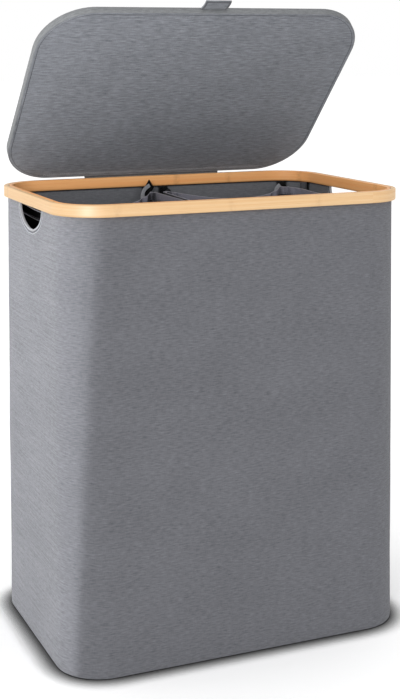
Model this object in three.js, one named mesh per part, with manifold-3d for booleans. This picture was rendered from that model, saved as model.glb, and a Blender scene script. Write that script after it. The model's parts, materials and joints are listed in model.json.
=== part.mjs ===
// Two-bin laundry hamper: a linen-look fabric box hung from a bent bamboo rim, with a
// padded lid on a fabric hinge and two liner bags that hook inside the rim.
// Millimetres, +Z up. The origin is on the floor under the middle of the footprint, the
// front faces -Y, and the lid stands half open.

import * as THREE from 'three';
import { mergeVertices } from 'three/addons/utils/BufferGeometryUtils.js';
import Module from 'manifold-3d';

const wasm = await Module();
wasm.setup();

// Clearances
const seatGap = 0.3; // between pieces that touch or are sewn together
const cutOverrun = 4; // how far a cutting tool runs past what it cuts

// Rim: two bamboo hoops that clamp the fabric between them
const rimWidth = 528;
const rimDepth = 362;
const rimTop = 650;
const rimCorner = 68;
const rimBow = 4; // outward bow of the long sides at mid-span
const bandHeight = 16.5;
const outerHoopThickness = 5.6;
const innerHoopThickness = 4;
const hoopEdge = 1.2;
const hemDrop = 1; // how far the clamped fabric stays below the top of the hoops

// Fabric box
const coverThickness = 1.4;
const coverBottomEdge = 2.5;
const liningThickness = 0.8;
const boardThickness = 3;
const floorFlare = 4; // how far each wall leans out from the rim to the floor

// Hand cut-outs in the two end walls, just under the rim
const cutoutHalfWidth = 55.5;
const cutoutDepth = 34.5;
const cutoutTipHalfWidth = 8;
const cutoutFullness = 0.75; // share of the depth at which its curved sides aim
const bindingWidth = 2.2;
const bindingProud = 0.7;

// Support rods, one near each corner
const rodRadius = 4;
const rodArcAngle = 18; // degrees round the corner, from the end wall
const sleeveRadius = 6.5;
const sleeveThickness = 1.2;
const sleeveFootGap = 22;
const sleeveHeadGap = 34;
const capRadius = 6;
const capHeight = 22;
const capRoof = 4;
const capLip = 1;

// Webbing straps and open keepers under the rim, and the hooks of the bags
const strapWidth = 14;
const strapThickness = 1.2;
const strapLength = 29;
const keeperWidth = 12;
const keeperPlate = 2;
const keeperHeight = 19;
const keeperTopGap = 2.2;
const keeperPocket = 4.2;
const keeperFloor = 2.4;
const keeperProngHeight = 9;
const hookWidth = 9;
const hookTipThickness = 2;
const hookTipClearance = 1.2;
const hookTipDrop = 5.6;
const hookArch = 2.4;
const hookLegThickness = 2.1;
const hookLegClearance = 0.5;
const hookLegLength = 24;
const hookHeadHeight = 26; // of the left bag's inner hooks
const lowHeadHeight = 15; // of the other hooks, whose heads stay below the rim
const hookHeadWidth = 16;
const hookHeadOverlap = 4.5;
const centreHookOffset = 14; // of the inner hooks, from the middle of the hamper
const cornerHookAngle = 62; // degrees round the corner, of the outer hooks

// Liner bags
const bagGap = 8;
const bagInnerCorner = 8;
const bagThickness = 0.8;
const bagHemThickness = 1.8;
const bagHemHeight = 12.5;
const bagTop = 625;
const bagBottom = 20;
const bagTaper = 10;
const tabThickness = 1.2;
const tabWidth = 12;
const tabLength = 26;
const tabTopDrop = 1;

// Webbing carry handles, sewn inside the hem of each bag
const handleSpan = 120;
const handleWidth = 24;
const handleThickness = 1.4;
const handleLeg = 22;
const handleDrop = 6; // of the stitched ends below the top of the hem
const handleGap = 0.5;

// Lid
const lidOpening = 45; // degrees from closed, as photographed
const lidWidth = 508;
const lidLength = 358;
const lidCorner = 78;
const lidLift = 1.2; // of the hinge line above the underside of the closed lid
const lidPanelThickness = 1.2;
const lidBoardThickness = 2.5;
const lidPaddingThickness = 5;
const gussetThickness = 1.2;
const gussetEdge = 0.5;
const tabPullWidth = 40;
const tabPullLength = 22;
const tabPullThickness = 2.2;
const tabPullCorner = 1;
const tabPullDroop = 16; // degrees below the plane of the lid

// Fabric hinge between the rim and the lid
const flapWidth = 230;
const flapThickness = 1.2;
const flapStitchDrop = 24; // length that lies on the cover below the rim
const flapHingeRise = 0.2; // of the strip's top edge above the hinge line
const flapBend = 0.6;
const flapLidHeight = 7.5;

// Facets
const cornerSteps = 8;
const sideSteps = 6;
const roundFacets = 12;
const curveFacets = 8;

// Places that follow from the sizes above
const bandBottom = rimTop - bandHeight;
const coverInset = outerHoopThickness + seatGap;
const liningInset = coverInset + coverThickness + seatGap;
const liningFace = liningInset + liningThickness;
const innerHoopInset = liningFace + seatGap;
const boardBottom = coverThickness + seatGap;
const liningBottom = boardBottom + boardThickness + seatGap;
const liningFloor = liningBottom + liningThickness;
const strapInset = liningFace + seatGap;
const strapTop = bandBottom - seatGap;
const keeperInset = strapInset + strapThickness + seatGap;
const keeperTop = strapTop - keeperTopGap;
const keeperBottom = keeperTop - keeperHeight;
const prongTop = keeperBottom + keeperProngHeight;
const prongInset = keeperInset + keeperPlate + keeperPocket;
const prongFace = prongInset + keeperPlate;
const hookTipInset = keeperInset + keeperPlate + hookTipClearance;
const hookArchBottom = prongTop + seatGap;
const hookArchTop = hookArchBottom + hookArch;
const hookLegInset = prongFace + hookLegClearance;
const hookFace = hookLegInset + hookLegThickness;
const bagTabInset = hookFace + seatGap;
const cornerSettle = cornerSagitta(rimCorner - liningFace, strapWidth);
const bagInset = bagTabInset + tabThickness + seatGap + cornerSettle;
const handleInset = bagInset + bagHemThickness + handleGap;
const hingeY = rimDepth / 2 + rimBow + seatGap + flapThickness / 2;
const hingeZ = rimTop + seatGap + lidLift;
const lidEdgeGap = flapThickness / 2 + seatGap + flapThickness + seatGap; // behind the lid

const up = new THREE.Vector3(0, 0, 1);

function degrees(angle) {
  return THREE.MathUtils.degToRad(angle);
}

// How far a flat strip stands off a faceted round corner that it lies in
function cornerSagitta(radius, stripWidth) {
  const facet = degrees(90 / cornerSteps);
  const roundSagitta = radius - Math.sqrt(radius * radius - (stripWidth * stripWidth) / 4);
  return roundSagitta + radius * (1 - Math.cos(facet / 2));
}

// Plan outlines

function bowAt(x) {
  const share = x / (rimWidth / 2);
  return rimBow * Math.max(0, 1 - share * share);
}

// The fabric is straight at the floor and follows the bowed hoops at the rim.
function bowShareAt(z) {
  return Math.min(1, z / bandBottom);
}

function flareAt(z) {
  return floorFlare * (1 - bowShareAt(z));
}

function planOutline({ left, right, front, back, leftCorner, rightCorner, bowShare = 0 }) {
  const corners = [
    { x: right - rightCorner, y: front + rightCorner, radius: rightCorner, turn: -90 },
    { x: right - rightCorner, y: back - rightCorner, radius: rightCorner, turn: 0 },
    { x: left + leftCorner, y: back - leftCorner, radius: leftCorner, turn: 90 },
    { x: left + leftCorner, y: front + leftCorner, radius: leftCorner, turn: 180 },
  ];
  const points = [];
  corners.forEach((corner, index) => {
    for (let step = 0; step <= cornerSteps; step++) {
      const angle = degrees(corner.turn + (90 * step) / cornerSteps);
      points.push(
        new THREE.Vector2(
          corner.x + corner.radius * Math.cos(angle),
          corner.y + corner.radius * Math.sin(angle),
        ),
      );
    }
    const longSideFollows = index % 2 === 1;
    if (longSideFollows) {
      const from = points[points.length - 1];
      const to = new THREE.Vector2(corners[(index + 1) % corners.length].x, from.y);
      for (let step = 1; step < sideSteps; step++) {
        points.push(from.clone().lerp(to, step / sideSteps));
      }
    }
  });
  points.forEach((point) => {
    point.y += Math.sign(point.y) * bowShare * bowAt(point.x);
  });
  return points;
}

function rimOutline(inset, bowShare = 1) {
  return planOutline({
    left: -rimWidth / 2 + inset,
    right: rimWidth / 2 - inset,
    front: -rimDepth / 2 + inset,
    back: rimDepth / 2 - inset,
    leftCorner: rimCorner - inset,
    rightCorner: rimCorner - inset,
    bowShare,
  });
}

function bagOutline(side, wall, taper, bowShare) {
  const outer = rimWidth / 2 - bagInset - taper - wall;
  const inner = bagGap / 2 + taper / 2 + wall;
  const outerCorner = rimCorner - bagInset - wall;
  const innerCorner = bagInnerCorner - wall;
  return planOutline({
    left: side < 0 ? -outer : inner,
    right: side < 0 ? -inner : outer,
    front: -rimDepth / 2 + bagInset + taper + wall,
    back: rimDepth / 2 - bagInset - taper - wall,
    leftCorner: side < 0 ? outerCorner : innerCorner,
    rightCorner: side < 0 ? innerCorner : outerCorner,
    bowShare,
  });
}

function lidOutline(inset) {
  return planOutline({
    left: -lidWidth / 2 + inset,
    right: lidWidth / 2 - inset,
    front: -lidEdgeGap - lidLength + inset,
    back: -lidEdgeGap - inset,
    leftCorner: lidCorner - inset,
    rightCorner: lidCorner - inset,
  });
}

// Solids

function ringAt(points, z) {
  return points.map((point) => new THREE.Vector3(point.x, point.y, z));
}

function wallRing(inset, z) {
  return ringAt(rimOutline(inset - flareAt(z), bowShareAt(z)), z);
}

// Joins rings of equal count into one closed solid. Looped rings meet end to start, as in
// a hoop, and others are closed by a flat cap at each end. The faces' diagonals lean the
// same way going up and down, so that nested walls stay parallel where they are twisted.
function skinRings(rings, { looped = false, flatten = (v) => new THREE.Vector2(v.x, v.y) } = {}) {
  const count = rings[0].length;
  const indices = [];
  const bands = looped ? rings.length : rings.length - 1;
  for (let band = 0; band < bands; band++) {
    const low = band * count;
    const next = (band + 1) % rings.length;
    const high = next * count;
    const goesDown = rings[next][0].z < rings[band][0].z;
    for (let i = 0; i < count; i++) {
      const j = (i + 1) % count;
      if (goesDown) {
        indices.push(low + i, low + j, high + i, low + j, high + j, high + i);
      } else {
        indices.push(low + i, low + j, high + j, low + i, high + j, high + i);
      }
    }
  }
  if (!looped) {
    const last = (rings.length - 1) * count;
    const firstCap = THREE.ShapeUtils.triangulateShape(rings[0].map(flatten), []);
    const lastCap = THREE.ShapeUtils.triangulateShape(rings[rings.length - 1].map(flatten), []);
    firstCap.forEach(([a, b, c]) => indices.push(a, c, b));
    lastCap.forEach(([a, b, c]) => indices.push(last + a, last + b, last + c));
  }
  const geometry = new THREE.BufferGeometry();
  const positions = rings.flat().flatMap((v) => [v.x, v.y, v.z]);
  geometry.setAttribute('position', new THREE.Float32BufferAttribute(positions, 3));
  geometry.setIndex(indices);
  return geometry;
}

function plate(outlineAt, bottom, thickness) {
  return skinRings([ringAt(outlineAt, bottom), ringAt(outlineAt, bottom + thickness)]);
}

function hoop(outside, thickness) {
  const inside = outside + thickness;
  const profile = [
    [outside, bandBottom + hoopEdge],
    [outside, rimTop - hoopEdge],
    [outside + hoopEdge, rimTop],
    [inside - hoopEdge, rimTop],
    [inside, rimTop - hoopEdge],
    [inside, bandBottom + hoopEdge],
    [inside - hoopEdge, bandBottom],
    [outside + hoopEdge, bandBottom],
  ];
  return skinRings(
    profile.map(([inset, z]) => ringAt(rimOutline(inset), z)),
    { looped: true },
  );
}

function extrude(shape, depth) {
  const geometry = new THREE.ExtrudeGeometry(shape, {
    depth,
    bevelEnabled: false,
    curveSegments: curveFacets,
  });
  return geometry.translate(0, 0, -depth / 2);
}

function polygon(points) {
  return new THREE.Shape(points.map(([x, y]) => new THREE.Vector2(x, y)));
}

function revolve(points) {
  const profile = points.map(([radius, height]) => new THREE.Vector2(radius, height));
  return new THREE.LatheGeometry([...profile, profile[0]], roundFacets).rotateX(Math.PI / 2);
}

function toSolid(geometry) {
  const bare = geometry.clone();
  bare.deleteAttribute('normal');
  bare.deleteAttribute('uv');
  const merged = mergeVertices(bare);
  return new wasm.Manifold(
    new wasm.Mesh({
      numProp: 3,
      vertProperties: new Float32Array(merged.attributes.position.array),
      triVerts: new Uint32Array(merged.index.array),
    }),
  );
}

function toGeometry(solid) {
  const mesh = solid.getMesh();
  const geometry = new THREE.BufferGeometry();
  geometry.setAttribute('position', new THREE.BufferAttribute(mesh.vertProperties, 3));
  geometry.setIndex(new THREE.BufferAttribute(mesh.triVerts, 1));
  return geometry;
}

function cut(geometry, tools) {
  return toGeometry(tools.reduce((solid, tool) => solid.subtract(toSolid(tool)), toSolid(geometry)));
}

function join(...geometries) {
  const [first, ...others] = geometries.map(toSolid);
  return toGeometry(others.reduce((solid, other) => solid.add(other), first));
}

// Materials

const looks = {
  bamboo: { color: 0xe6c08c, roughness: 0.45, metalness: 0 },
  linen: { color: 0x74757a, roughness: 0.95, metalness: 0 },
  lining: { color: 0x52545a, roughness: 0.85, metalness: 0 },
  bag: { color: 0x56555f, roughness: 0.6, metalness: 0 },
  hem: { color: 0x4e4d57, roughness: 0.65, metalness: 0 },
  webbing: { color: 0x8a8b90, roughness: 0.8, metalness: 0 },
  binding: { color: 0xa9abb0, roughness: 0.85, metalness: 0 },
  board: { color: 0x8a6b4a, roughness: 0.9, metalness: 0 },
  padding: { color: 0xe8e8e4, roughness: 0.9, metalness: 0 },
  aluminium: { color: 0xb9bcc0, roughness: 0.35, metalness: 1 },
  plastic: { color: 0x151517, roughness: 0.4, metalness: 0 },
};

function piece(name, geometry, look) {
  const mesh = new THREE.Mesh(geometry, new THREE.MeshStandardMaterial(looks[look]));
  mesh.name = name;
  return mesh;
}

// Rim

function makeRim() {
  return [
    piece('rim_outer_hoop', hoop(0, outerHoopThickness), 'bamboo'),
    piece('rim_inner_hoop', hoop(innerHoopInset, innerHoopThickness), 'bamboo'),
  ];
}

// Hand cut-outs: a shield whose open top lies at the lower edge of the rim

function cutoutShape(grow, top) {
  const halfWidth = cutoutHalfWidth + grow;
  const tip = bandBottom - cutoutDepth - grow;
  const tipHalfWidth = cutoutTipHalfWidth + grow / 2;
  const shoulderZ = bandBottom + (tip - bandBottom) * cutoutFullness;
  const curveTop = Math.min(top, bandBottom);
  const shape = new THREE.Shape();
  shape.moveTo(-halfWidth, curveTop);
  shape.quadraticCurveTo(-halfWidth, shoulderZ, -tipHalfWidth, tip);
  shape.lineTo(tipHalfWidth, tip);
  shape.quadraticCurveTo(halfWidth, shoulderZ, halfWidth, curveTop);
  if (top > curveTop) {
    shape.lineTo(halfWidth, top);
    shape.lineTo(-halfWidth, top);
  }
  return shape;
}

function throughWall(shape, side, outsideInset, insideInset) {
  const depth = insideInset - outsideInset;
  const centre = rimWidth / 2 - (insideInset + outsideInset) / 2;
  return extrude(shape, depth)
    .applyMatrix4(
      new THREE.Matrix4().makeBasis(new THREE.Vector3(0, 1, 0), up, new THREE.Vector3(1, 0, 0)),
    )
    .translate(side * centre, 0, 0);
}

function cutoutTools() {
  const shape = cutoutShape(bindingWidth + seatGap, bandBottom);
  return [-1, 1].map((side) =>
    throughWall(shape, side, coverInset - cutOverrun, liningFace + cutOverrun),
  );
}

function makeBinding(side) {
  const outside = coverInset - bindingProud;
  const inside = liningFace + bindingProud;
  const outer = cutoutShape(bindingWidth, bandBottom - seatGap);
  const opening = cutoutShape(0, bandBottom + cutOverrun);
  const geometry = cut(throughWall(outer, side, outside, inside), [
    throughWall(opening, side, outside - cutOverrun, inside + cutOverrun),
  ]);
  return piece(`cutout_binding_${side < 0 ? 'left' : 'right'}`, geometry, 'binding');
}

// Fabric box, its lining and the board in its base

function makeBox() {
  const top = rimTop - hemDrop;
  const coverFace = coverInset + coverThickness;
  const cover = skinRings([
    wallRing(coverInset + coverBottomEdge, 0),
    wallRing(coverInset, coverBottomEdge),
    wallRing(coverInset, bandBottom),
    wallRing(coverInset, top),
    wallRing(coverFace, top),
    wallRing(coverFace, bandBottom),
    wallRing(coverFace, coverThickness),
  ]);
  const lining = skinRings([
    wallRing(liningInset, liningBottom),
    wallRing(liningInset, bandBottom),
    wallRing(liningInset, top),
    wallRing(liningFace, top),
    wallRing(liningFace, bandBottom),
    wallRing(liningFace, liningFloor),
  ]);
  const boardOutline = rimOutline(liningInset - flareAt(liningBottom), 0);
  return [
    piece('outer_cover', cut(cover, cutoutTools()), 'linen'),
    piece('inner_lining', cut(lining, cutoutTools()), 'lining'),
    piece('base_board', plate(boardOutline, boardBottom, boardThickness), 'board'),
  ];
}

// Support rods in their sleeves, each with a cap that carries the inner hoop

function makeRod(side, end) {
  const name = `${end < 0 ? 'front' : 'back'}_${side < 0 ? 'left' : 'right'}`;
  const reach = rimCorner - liningFace - seatGap - sleeveRadius;
  const angle = degrees(rodArcAngle);
  const x = side * (rimWidth / 2 - rimCorner + reach * Math.cos(angle));
  const y = end * (rimDepth / 2 - rimCorner + reach * Math.sin(angle));
  const foot = liningFloor + seatGap;
  const capTop = bandBottom - seatGap;
  const head = capTop - capRoof - seatGap;
  const bore = rodRadius + seatGap;
  const cap = revolve([
    [0, capTop],
    [0, capTop - capRoof],
    [bore, capTop - capRoof],
    [bore, capTop - capHeight],
    [capRadius - capLip, capTop - capHeight],
    [capRadius, capTop - capHeight + capLip],
    [capRadius, capTop],
  ]);
  const sleeveInside = sleeveRadius - sleeveThickness;
  const sleeve = revolve([
    [sleeveInside, foot + sleeveFootGap],
    [sleeveRadius, foot + sleeveFootGap],
    [sleeveRadius, capTop - sleeveHeadGap],
    [sleeveInside, capTop - sleeveHeadGap],
  ]);
  const rod = new THREE.CylinderGeometry(rodRadius, rodRadius, head - foot, roundFacets)
    .rotateX(Math.PI / 2)
    .translate(0, 0, (head + foot) / 2);
  const pieces = [
    piece(`support_rod_${name}`, rod, 'aluminium'),
    piece(`rod_sleeve_${name}`, sleeve, 'lining'),
    piece(`rod_cap_${name}`, cap, 'plastic'),
  ];
  pieces.forEach((mesh) => mesh.position.set(x, y, 0));
  return pieces;
}

// Hanging points. In a station's frame x runs inward from the rim's outer face, y is up
// and z runs along the wall.

function station(side, end, atCorner) {
  const group = new THREE.Group();
  const inward = new THREE.Vector3(0, -end, 0);
  let x = side * centreHookOffset;
  let y = end * (rimDepth / 2);
  if (atCorner) {
    const angle = degrees(cornerHookAngle);
    inward.set(-side * Math.cos(angle), -end * Math.sin(angle), 0);
    const reach = rimCorner - cornerSettle;
    x = side * (rimWidth / 2 - rimCorner) - inward.x * reach;
    y = end * (rimDepth / 2 - rimCorner) - inward.y * reach;
  }
  y += end * bowShareAt(keeperTop) * bowAt(x);
  group.position.set(x, y, 0);
  group.quaternion.setFromRotationMatrix(
    new THREE.Matrix4().makeBasis(inward, up, inward.clone().cross(up)),
  );
  return group;
}

function keeperGeometry() {
  const plateFace = keeperInset + keeperPlate;
  const profile = polygon([
    [keeperInset, keeperBottom],
    [prongFace, keeperBottom],
    [prongFace, prongTop],
    [prongInset, prongTop],
    [prongInset, keeperBottom + keeperFloor],
    [plateFace, keeperBottom + keeperFloor],
    [plateFace, keeperTop],
    [keeperInset, keeperTop],
  ]);
  return extrude(profile, keeperWidth);
}

function hookGeometry(headHeight) {
  const tipFace = hookTipInset + hookTipThickness;
  const body = polygon([
    [hookTipInset, hookArchTop - hookArch - hookTipDrop],
    [tipFace, hookArchTop - hookArch - hookTipDrop],
    [tipFace, hookArchBottom],
    [hookLegInset, hookArchBottom],
    [hookLegInset, hookArchTop - hookLegLength],
    [hookFace, hookArchTop - hookLegLength],
    [hookFace, hookArchTop],
    [hookTipInset, hookArchTop],
  ]);
  const headMiddle = hookArchTop - hookHeadOverlap + headHeight / 2;
  const diamond = polygon([
    [0, headMiddle - headHeight / 2],
    [hookHeadWidth / 2, headMiddle],
    [0, headMiddle + headHeight / 2],
    [-hookHeadWidth / 2, headMiddle],
  ]);
  const head = extrude(diamond, hookLegThickness)
    .rotateY(Math.PI / 2)
    .translate(hookLegInset + hookLegThickness / 2, 0, 0);
  return join(extrude(body, hookWidth), head);
}

const hangingPoints = [-1, 1].flatMap((side) =>
  [-1, 1].flatMap((end) =>
    [true, false].map((atCorner) => ({
      side,
      end,
      atCorner,
      headHeight: side < 0 && !atCorner ? hookHeadHeight : lowHeadHeight,
      name: `${side < 0 ? 'left' : 'right'}_${end < 0 ? 'front' : 'back'}_${atCorner ? 'outer' : 'inner'}`,
    })),
  ),
);

function makeHanger({ side, end, atCorner, name }) {
  const strap = new THREE.BoxGeometry(strapThickness, strapLength, strapWidth).translate(
    strapInset + strapThickness / 2,
    strapTop - strapLength / 2,
    0,
  );
  return station(side, end, atCorner).add(
    piece(`rim_strap_${name}`, strap, 'webbing'),
    piece(`keeper_${name}`, keeperGeometry(), 'plastic'),
  );
}

// Liner bags

function bagRing(side, wall, taper, z) {
  return ringAt(bagOutline(side, wall, taper, bowShareAt(z)), z);
}

// A webbing tab hangs down outside the bag, and its top half is sewn to the hem.
function tabAt({ side, end, atCorner }) {
  const frame = station(side, end, atCorner);
  frame.updateMatrix();
  const tabFace = bagTabInset + tabThickness;
  const sewnFace = bagInset + bagHemThickness / 2;
  const tabTop = bagTop - tabTopDrop;
  const sewnBottom = bagTop - bagHemHeight + seatGap;
  const profile = polygon([
    [bagTabInset, tabTop - tabLength],
    [tabFace, tabTop - tabLength],
    [tabFace, sewnBottom],
    [sewnFace, sewnBottom],
    [sewnFace, tabTop],
    [bagTabInset, tabTop],
  ]);
  return extrude(profile, tabWidth).applyMatrix4(frame.matrix);
}

function handleGeometry() {
  const outer = handleSpan / 2;
  const inner = outer - handleWidth;
  const shape = new THREE.Shape();
  shape.moveTo(-outer, 0);
  shape.lineTo(-outer, -handleLeg);
  shape.absarc(0, -handleLeg, outer, Math.PI, 2 * Math.PI, false);
  shape.lineTo(outer, 0);
  shape.lineTo(inner, 0);
  shape.lineTo(inner, -handleLeg);
  shape.absarc(0, -handleLeg, inner, 0, -Math.PI, true);
  shape.lineTo(-inner, 0);
  return extrude(shape, handleThickness).applyMatrix4(
    new THREE.Matrix4().makeBasis(new THREE.Vector3(0, 1, 0), up, new THREE.Vector3(1, 0, 0)),
  );
}

function makeBag(side) {
  const name = `bag_${side < 0 ? 'left' : 'right'}`;
  const bodyTop = bagTop - bagHemHeight - seatGap;
  const body = skinRings([
    bagRing(side, 0, bagTaper, bagBottom),
    bagRing(side, 0, 0, bodyTop),
    bagRing(side, bagThickness, 0, bodyTop),
    bagRing(side, bagThickness, bagTaper, bagBottom + bagThickness),
  ]);
  const hem = skinRings(
    [
      bagRing(side, 0, 0, bagTop - bagHemHeight),
      bagRing(side, 0, 0, bagTop),
      bagRing(side, bagHemThickness, 0, bagTop),
      bagRing(side, bagHemThickness, 0, bagTop - bagHemHeight),
    ],
    { looped: true },
  );
  const points = hangingPoints.filter((point) => point.side === side);
  const handlePlaces = {
    outer: rimWidth / 2 - handleInset - handleThickness / 2,
    inner: bagGap / 2 + handleInset - bagInset + handleThickness / 2,
  };
  const handles = Object.entries(handlePlaces).map(([place, x]) => {
    const handle = piece(`${name}_handle_${place}`, handleGeometry(), 'webbing');
    handle.position.set(side * x, 0, bagTop - handleDrop);
    return handle;
  });
  return [
    piece(`${name}_body`, body, 'bag'),
    piece(`${name}_hem`, join(hem, ...points.map(tabAt)), 'hem'),
    ...handles,
    ...points.map((point) =>
      station(point.side, point.end, point.atCorner).add(
        piece(`hook_${point.name}`, hookGeometry(point.headHeight), 'plastic'),
      ),
    ),
  ];
}

// Fabric hinge: one leaf on the rim and the cover, one on the lid's back edge

function flapStations() {
  return Array.from({ length: sideSteps + 1 }, (_, step) => flapWidth * (step / sideSteps - 1 / 2));
}

function makeRimFlap() {
  const onCover = -coverInset + seatGap;
  const underBand = bandBottom - seatGap;
  const onBand = seatGap;
  const backFace = [
    [onCover, bandBottom - flapStitchDrop],
    [onCover + flapThickness, bandBottom - flapStitchDrop],
    [onCover + flapThickness, underBand - flapThickness - flapBend],
    [onBand + flapThickness - flapBend, underBand - flapThickness],
    [onBand + flapThickness, underBand],
  ];
  const frontFace = [
    [onBand, underBand + flapBend],
    [onBand - flapBend, underBand],
    [onCover, underBand - flapBend],
  ];
  const hingeEdge = [
    [hingeY + flapThickness / 2, hingeZ + flapHingeRise],
    [hingeY - flapThickness / 2, hingeZ + flapHingeRise],
  ];
  const rings = flapStations().map((x) => {
    const bowed = ([y, z]) => [rimDepth / 2 + bowAt(x) + y, z];
    const profile = [...backFace.map(bowed), ...hingeEdge, ...frontFace.map(bowed)];
    return profile.map(([y, z]) => new THREE.Vector3(x, y, z));
  });
  const flatten = (v) => new THREE.Vector2(v.y, v.z);
  return piece('hinge_flap_rim', skinRings(rings, { flatten }), 'linen');
}

function makeLid() {
  const lid = new THREE.Group();
  const panelInset = gussetThickness + seatGap;
  const bottom = -lidLift;
  const boardLevel = bottom + lidPanelThickness + seatGap;
  const paddingLevel = boardLevel + lidBoardThickness + seatGap;
  const topLevel = paddingLevel + lidPaddingThickness + seatGap;
  const top = topLevel + lidPanelThickness;
  const gussetProfile = [
    [gussetEdge, bottom],
    [0, bottom + gussetEdge],
    [0, top - gussetEdge],
    [gussetEdge, top],
    [gussetThickness, top],
    [gussetThickness, bottom],
  ];
  const gusset = skinRings(
    gussetProfile.map(([inset, z]) => ringAt(lidOutline(inset), z)),
    { looped: true },
  );
  const panel = lidOutline(panelInset);
  const flap = new THREE.BoxGeometry(flapWidth, flapThickness, flapLidHeight).translate(
    0,
    -lidEdgeGap + seatGap + flapThickness / 2,
    bottom + seatGap + flapLidHeight / 2,
  );

  const pullShape = polygon([
    [-tabPullWidth / 2, 0],
    [-tabPullWidth / 2, -tabPullLength + tabPullCorner],
    [-tabPullWidth / 2 + tabPullCorner, -tabPullLength],
    [tabPullWidth / 2 - tabPullCorner, -tabPullLength],
    [tabPullWidth / 2, -tabPullLength + tabPullCorner],
    [tabPullWidth / 2, 0],
  ]);
  const pull = piece('lid_pull_tab', extrude(pullShape, tabPullThickness), 'linen');
  pull.position.set(0, -lidEdgeGap - lidLength - 2 * seatGap, top - tabPullThickness);
  pull.rotation.x = degrees(tabPullDroop);

  lid.add(
    piece('lid_under_panel', plate(panel, bottom, lidPanelThickness), 'linen'),
    piece('lid_board', plate(panel, boardLevel, lidBoardThickness), 'board'),
    piece('lid_padding', plate(panel, paddingLevel, lidPaddingThickness), 'padding'),
    piece('lid_top_panel', plate(panel, topLevel, lidPanelThickness), 'linen'),
    piece('lid_gusset', gusset, 'linen'),
    piece('hinge_flap_lid', flap, 'linen'),
    pull,
  );
  lid.position.set(0, hingeY, hingeZ);
  lid.rotation.x = -degrees(lidOpening);
  return lid;
}

const hamper = new THREE.Group();
hamper.name = 'two_bin_hamper';
hamper.add(...makeRim(), ...makeBox(), makeBinding(-1), makeBinding(1));
hamper.add(...hangingPoints.map(makeHanger));
for (const side of [-1, 1]) {
  hamper.add(...makeRod(side, -1), ...makeRod(side, 1), ...makeBag(side));
}
hamper.add(makeRimFlap(), makeLid());

export default hamper;
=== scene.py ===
import json
import math

import bmesh
import bpy
import numpy as np
from mathutils import Matrix, Quaternion, Vector, noise

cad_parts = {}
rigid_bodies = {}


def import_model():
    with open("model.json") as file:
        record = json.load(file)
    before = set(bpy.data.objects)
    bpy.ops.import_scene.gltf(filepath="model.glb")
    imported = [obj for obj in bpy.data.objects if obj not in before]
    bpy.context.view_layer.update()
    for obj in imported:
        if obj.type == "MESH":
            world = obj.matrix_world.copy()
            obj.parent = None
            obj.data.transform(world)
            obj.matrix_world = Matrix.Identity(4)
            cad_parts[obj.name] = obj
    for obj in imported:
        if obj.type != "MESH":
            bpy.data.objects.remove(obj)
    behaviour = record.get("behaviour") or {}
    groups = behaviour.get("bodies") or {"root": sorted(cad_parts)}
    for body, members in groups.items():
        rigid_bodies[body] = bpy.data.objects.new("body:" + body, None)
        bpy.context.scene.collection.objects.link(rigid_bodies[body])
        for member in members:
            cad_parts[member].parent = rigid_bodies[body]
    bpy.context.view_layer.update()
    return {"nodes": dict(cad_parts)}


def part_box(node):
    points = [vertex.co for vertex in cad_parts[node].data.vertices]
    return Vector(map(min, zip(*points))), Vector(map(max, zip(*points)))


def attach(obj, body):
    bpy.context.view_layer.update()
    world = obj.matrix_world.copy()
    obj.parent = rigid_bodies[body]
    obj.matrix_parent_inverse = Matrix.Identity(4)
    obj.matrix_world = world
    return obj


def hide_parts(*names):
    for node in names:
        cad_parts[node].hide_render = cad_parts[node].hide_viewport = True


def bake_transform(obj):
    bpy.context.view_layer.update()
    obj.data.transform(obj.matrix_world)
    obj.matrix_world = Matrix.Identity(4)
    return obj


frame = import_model()
nodes = frame["nodes"]
sideWords = {-1: "left", 1: "right"}
hookPlaces = [(end, place) for end in ("front", "back") for place in ("outer", "inner")]

# Sizes in metres, from the CAD model

rim = {"width": 0.528, "depth": 0.362, "top": 0.650, "low": 0.6335, "corner": 0.068, "bow": 0.004}
hoops = {
    "rim_outer_hoop": {"inset": 0.0, "thickness": 0.0070},
    "rim_inner_hoop": {"inset": 0.0073, "thickness": 0.0054},
}
box = {
    "flare": 0.004, "foot": 0.0025, "wave": 0.0009, "pinch": 0.6375, "hem": 0.6494,
    "cover": 0.0059, "coverHem": (0.0069, 0.0071), "coverFace": 0.0073,
    "lining": 0.0076, "liningHem": (0.0072, 0.0074), "liningFace": 0.0084,
}
cutout = {"halfWidth": 0.0555, "depth": 0.0345, "tip": 0.008, "fullness": 0.75}
bag = {
    "inset": 0.0235, "gap": 0.008, "innerCorner": 0.008, "taper": 0.010, "bottom": 0.020, "top": 0.625,
    "hem": 0.0125, "thickness": 0.0009, "hemThickness": 0.0018, "hookTurn": 62.0,
}
lid = {
    "width": 0.508, "length": 0.358, "corner": 0.078, "gap": 0.0024, "low": -0.0012, "high": 0.0096,
    "underCrown": 0.0014, "topCrown": 0.0045, "hinge": (0.0, 0.1859, 0.6515), "open": 45.0,
}
lidFrame = Matrix.Translation(Vector(lid["hinge"])) @ Matrix.Rotation(-math.radians(lid["open"]), 4, "X")


# Outlines: points and outward normals of a round-cornered plan shape


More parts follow.
